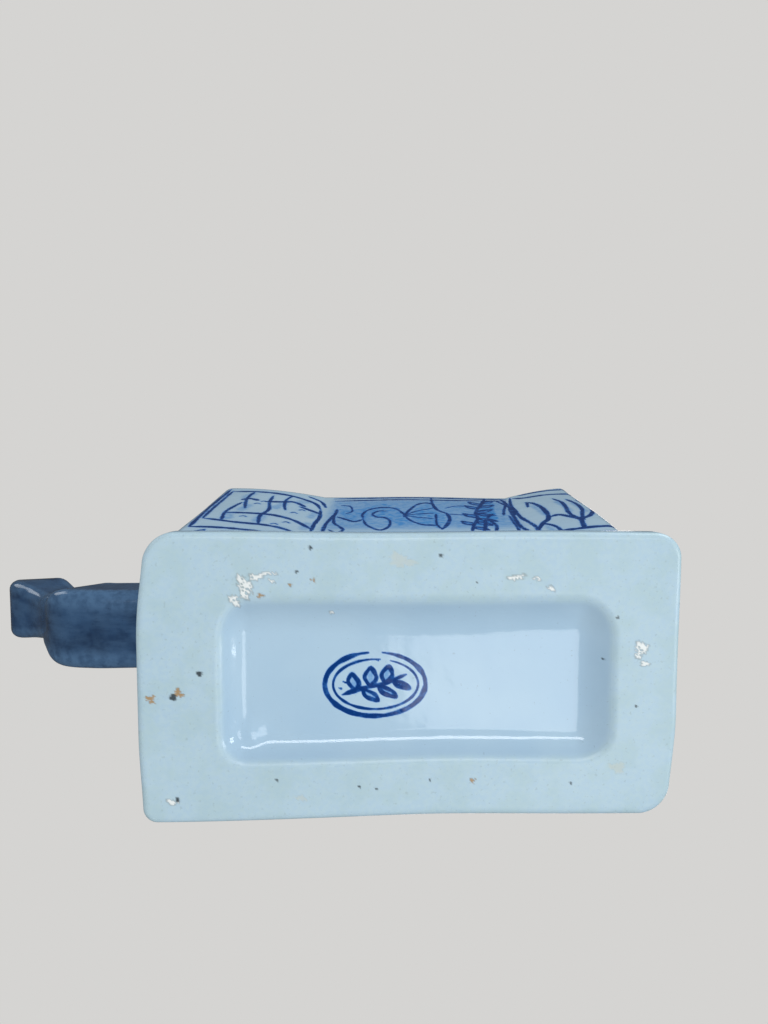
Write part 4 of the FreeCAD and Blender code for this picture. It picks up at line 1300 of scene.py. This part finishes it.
def floor_material():
    """A pale floor that fades out far away. It can't be seen from below, so it never hides the foot."""
    material = bpy.data.materials.new("pale_floor")
    nodes = Nodes(material)
    shader = nodes.add("ShaderNodeBsdfPrincipled")
    shade = nodes.spread(nodes.noise(9, 2), 0.2, 0.8)
    nodes.put(shader.inputs["Base Color"], nodes.blend(shade, *FLOOR_TONES))
    shader.inputs["Roughness"].default_value = 0.6
    place_now = nodes.add("ShaderNodeTexCoord")
    length = nodes.add("ShaderNodeVectorMath", operation="LENGTH")
    nodes.link(place_now.outputs["Object"], length.inputs[0])
    far = nodes.spread(length.outputs["Value"], 0.35, 1.3)
    side = nodes.add("ShaderNodeNewGeometry")
    clear = nodes.add("ShaderNodeBsdfTransparent")
    both = nodes.add("ShaderNodeMixShader")
    nodes.link(nodes.math("MAXIMUM", side.outputs["Backfacing"], far), both.inputs[0])
    nodes.link(shader.outputs["BSDF"], both.inputs[1])
    nodes.link(clear.outputs["BSDF"], both.inputs[2])
    nodes.finish(both.outputs["Shader"])
    return material


# ---------- the pieces
plain = white_glaze("white_glaze_plain", False, False)
painted_glaze = white_glaze("white_glaze_painted", True, False)
marked_glaze = white_glaze("white_glaze_foot", True, True)
cobalt = cobalt_glaze()


def place(thing, body, node, slot, material):
    """Gives a piece its material and its body, and hides the frame's part for the node that it stands for.
    slot is not used.
    """
    thing.data.materials.clear()
    thing.data.materials.append(material)
    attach(thing, body)
    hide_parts(node)


def make_long_wall(name, side):
    thing, number, points = long_wall(name, side)
    chart = Chart(points[:number, [0, 2]], 0.55)
    paint_front(chart)
    spread_paint(thing, chart, number)
    return thing


def make_handle_end():
    thing, number, points = end_wall("handle_end_wall_glazed", 1)
    chart = Chart(points[:number, 1:])
    paint_end(chart, False)
    spread_paint(thing, chart, number)
    return thing


def make_spout_end():
    """The wall behind the spout, with a ring of strainer holes round a middle one."""
    thing, _, _ = end_wall("spout_end_wall_glazed", -1)
    holes = [(SPOUT_Y, STRAINER_Z)]
    for number in range(6):
        turn = math.radians(60 * number)
        across, up = STRAINER_PITCH * math.cos(turn), STRAINER_PITCH * math.sin(turn)
        holes.append((across + SPOUT_Y, STRAINER_Z + up))
    cut(thing, [peg((-62, y, z), (-46, y, z), STRAINER_RADIUS) for y, z in holes])
    points = points_of(thing)
    chart = Chart(points[:, 1:])
    paint_end(chart, True)
    outside = points[:, 0] < -half_sizes(points[:, 2])[0] + POT_X + 1.0
    set_paint(thing, chart.line * outside, chart.wash * outside)
    return thing


place(make_foot(), "pot", "foot_slab", "white_glaze", marked_glaze)
place(make_long_wall("front_wall_glazed", 1), "pot", "front_wall", "white_glaze", painted_glaze)
place(make_long_wall("back_wall_glazed", -1), "pot", "back_wall", "white_glaze", painted_glaze)
place(make_handle_end(), "pot", "handle_end_wall", "white_glaze", painted_glaze)
place(make_spout_end(), "pot", "spout_end_wall", "white_glaze", painted_glaze)
place(make_shoulder(), "pot", "shoulder_slab", "white_glaze", painted_glaze)
place(make_collar(), "pot", "neck_collar", "white_glaze", plain)
place(make_spout(), "pot", "spout", "cobalt_glaze", cobalt)
place(make_handle(), "pot", "handle", "cobalt_glaze", cobalt)
place(make_lid_plate(), "lid", "lid_plate", "white_glaze", painted_glaze)
place(make_lid_flange(), "lid", "lid_flange", "white_glaze", plain)
place(make_knob(), "lid", "lid_knob", "cobalt_glaze", cobalt)


# ---------- stage, light and camera
def studio_floor(half, z):
    """A square floor, which no light or reflection sees."""
    data = bpy.data.meshes.new("studio_floor")
    corners = [(-half, -half, z), (half, -half, z), (half, half, z), (-half, half, z)]
    data.from_pydata(corners, [], [(0, 1, 2, 3)])
    data.materials.append(floor_material())
    floor = bpy.data.objects.new("studio_floor", data)
    bpy.context.scene.collection.objects.link(floor)
    floor.visible_diffuse = False
    floor.visible_glossy = False
    floor.visible_transmission = False
    floor.visible_shadow = False
    return floor


def studio_world():
    """A plain pale backing, of one strength to the camera, another as light and a third in reflections."""
    world = bpy.data.worlds.new("studio")
    nodes = Nodes(world)
    ray = nodes.add("ShaderNodeLightPath")
    seen = ray.outputs["Is Camera Ray"]
    strength = nodes.blend(seen, LIGHT_STRENGTH, SEEN_STRENGTH, "FLOAT")
    strength = nodes.blend(ray.outputs["Is Glossy Ray"], strength, REFLECTED_STRENGTH, "FLOAT")
    backing = nodes.add("ShaderNodeBackground")
    nodes.put(backing.inputs["Color"], nodes.blend(seen, LIGHT_TINT, SEEN_TINT))
    nodes.put(backing.inputs["Strength"], strength)
    nodes.finish(backing.outputs["Background"], "ShaderNodeOutputWorld")
    return world


def soft_light(name, place_now, aim, width, height, power, tint):
    data = bpy.data.lights.new(name, "AREA")
    data.shape = "RECTANGLE"
    data.size = width
    data.size_y = height
    data.energy = power
    data.color = tint
    thing = bpy.data.objects.new(name, data)
    bpy.context.scene.collection.objects.link(thing)
    thing.location = place_now
    way = Vector(aim) - Vector(place_now)
    thing.rotation_euler = way.to_track_quat("-Z", "Y").to_euler()


SEEN_STRENGTH = 0.665
LIGHT_STRENGTH = 0.50
REFLECTED_STRENGTH = 0.07
SEEN_TINT = (1.0, 0.99, 0.97, 1.0)
LIGHT_TINT = (0.87, 0.95, 1.0, 1.0)
# Each light: its name, its place and its aim in metres, its width and height, its power and its tint.
LIGHTS = (
    ("window", (0.27, 0.34, -1.05), (0.02, 0, 0), 0.34, 0.40, 1.3, (0.93, 0.97, 1.0)),
    ("strip", (0.04, -0.56, -0.88), (0, 0, 0), 0.60, 0.22, 3.2, (0.95, 0.98, 1.0)),
    ("top", (0.25, 0.45, 1.05), (0, 0, 0.05), 0.8, 0.8, 4.5, (1.0, 1.0, 1.0)),
    ("front", (0.75, -1.05, 0.50), (0, 0, 0.04), 0.6, 0.6, 6.6, (0.84, 0.95, 1.0)),
    ("side", (-1.0, -0.75, 0.45), (0, 0, 0.04), 0.5, 0.5, 1.4, (0.90, 0.96, 1.0)),
    ("low", (1.0, 0.06, -0.55), (-0.03, 0, 0), 0.40, 0.32, 3.4, (0.93, 0.98, 1.0)),
)

studio_floor(6.0, -0.0001)
bpy.context.scene.world = studio_world()
bpy.context.scene.view_settings.view_transform = "Standard"
for light in LIGHTS:
    soft_light(*light)

# The camera looks up at the foot, tipped by its pitch and turned by its yaw from straight up, in degrees.
CAMERA_PLACE = (-0.0063, -0.0482, -0.1604)
CAMERA_PITCH = 4.5
CAMERA_YAW = 0.35
camera_data = bpy.data.cameras.new("camera")
camera_data.lens = 27.04
camera_data.sensor_width = 36.0
camera_data.clip_start = 0.005
camera = bpy.data.objects.new("camera", camera_data)
bpy.context.scene.collection.objects.link(camera)
pitch, yaw = math.radians(CAMERA_PITCH), math.radians(CAMERA_YAW)
forward = Vector((math.sin(yaw) * math.cos(pitch), math.sin(pitch), math.cos(yaw) * math.cos(pitch)))
right = Vector((0, 1, 0)).cross(forward).normalized()
down = forward.cross(right)
axes = Matrix((right, -down, -forward)).transposed()
camera.matrix_world = Matrix.Translation(CAMERA_PLACE) @ axes.to_4x4()
bpy.context.scene.camera = camera
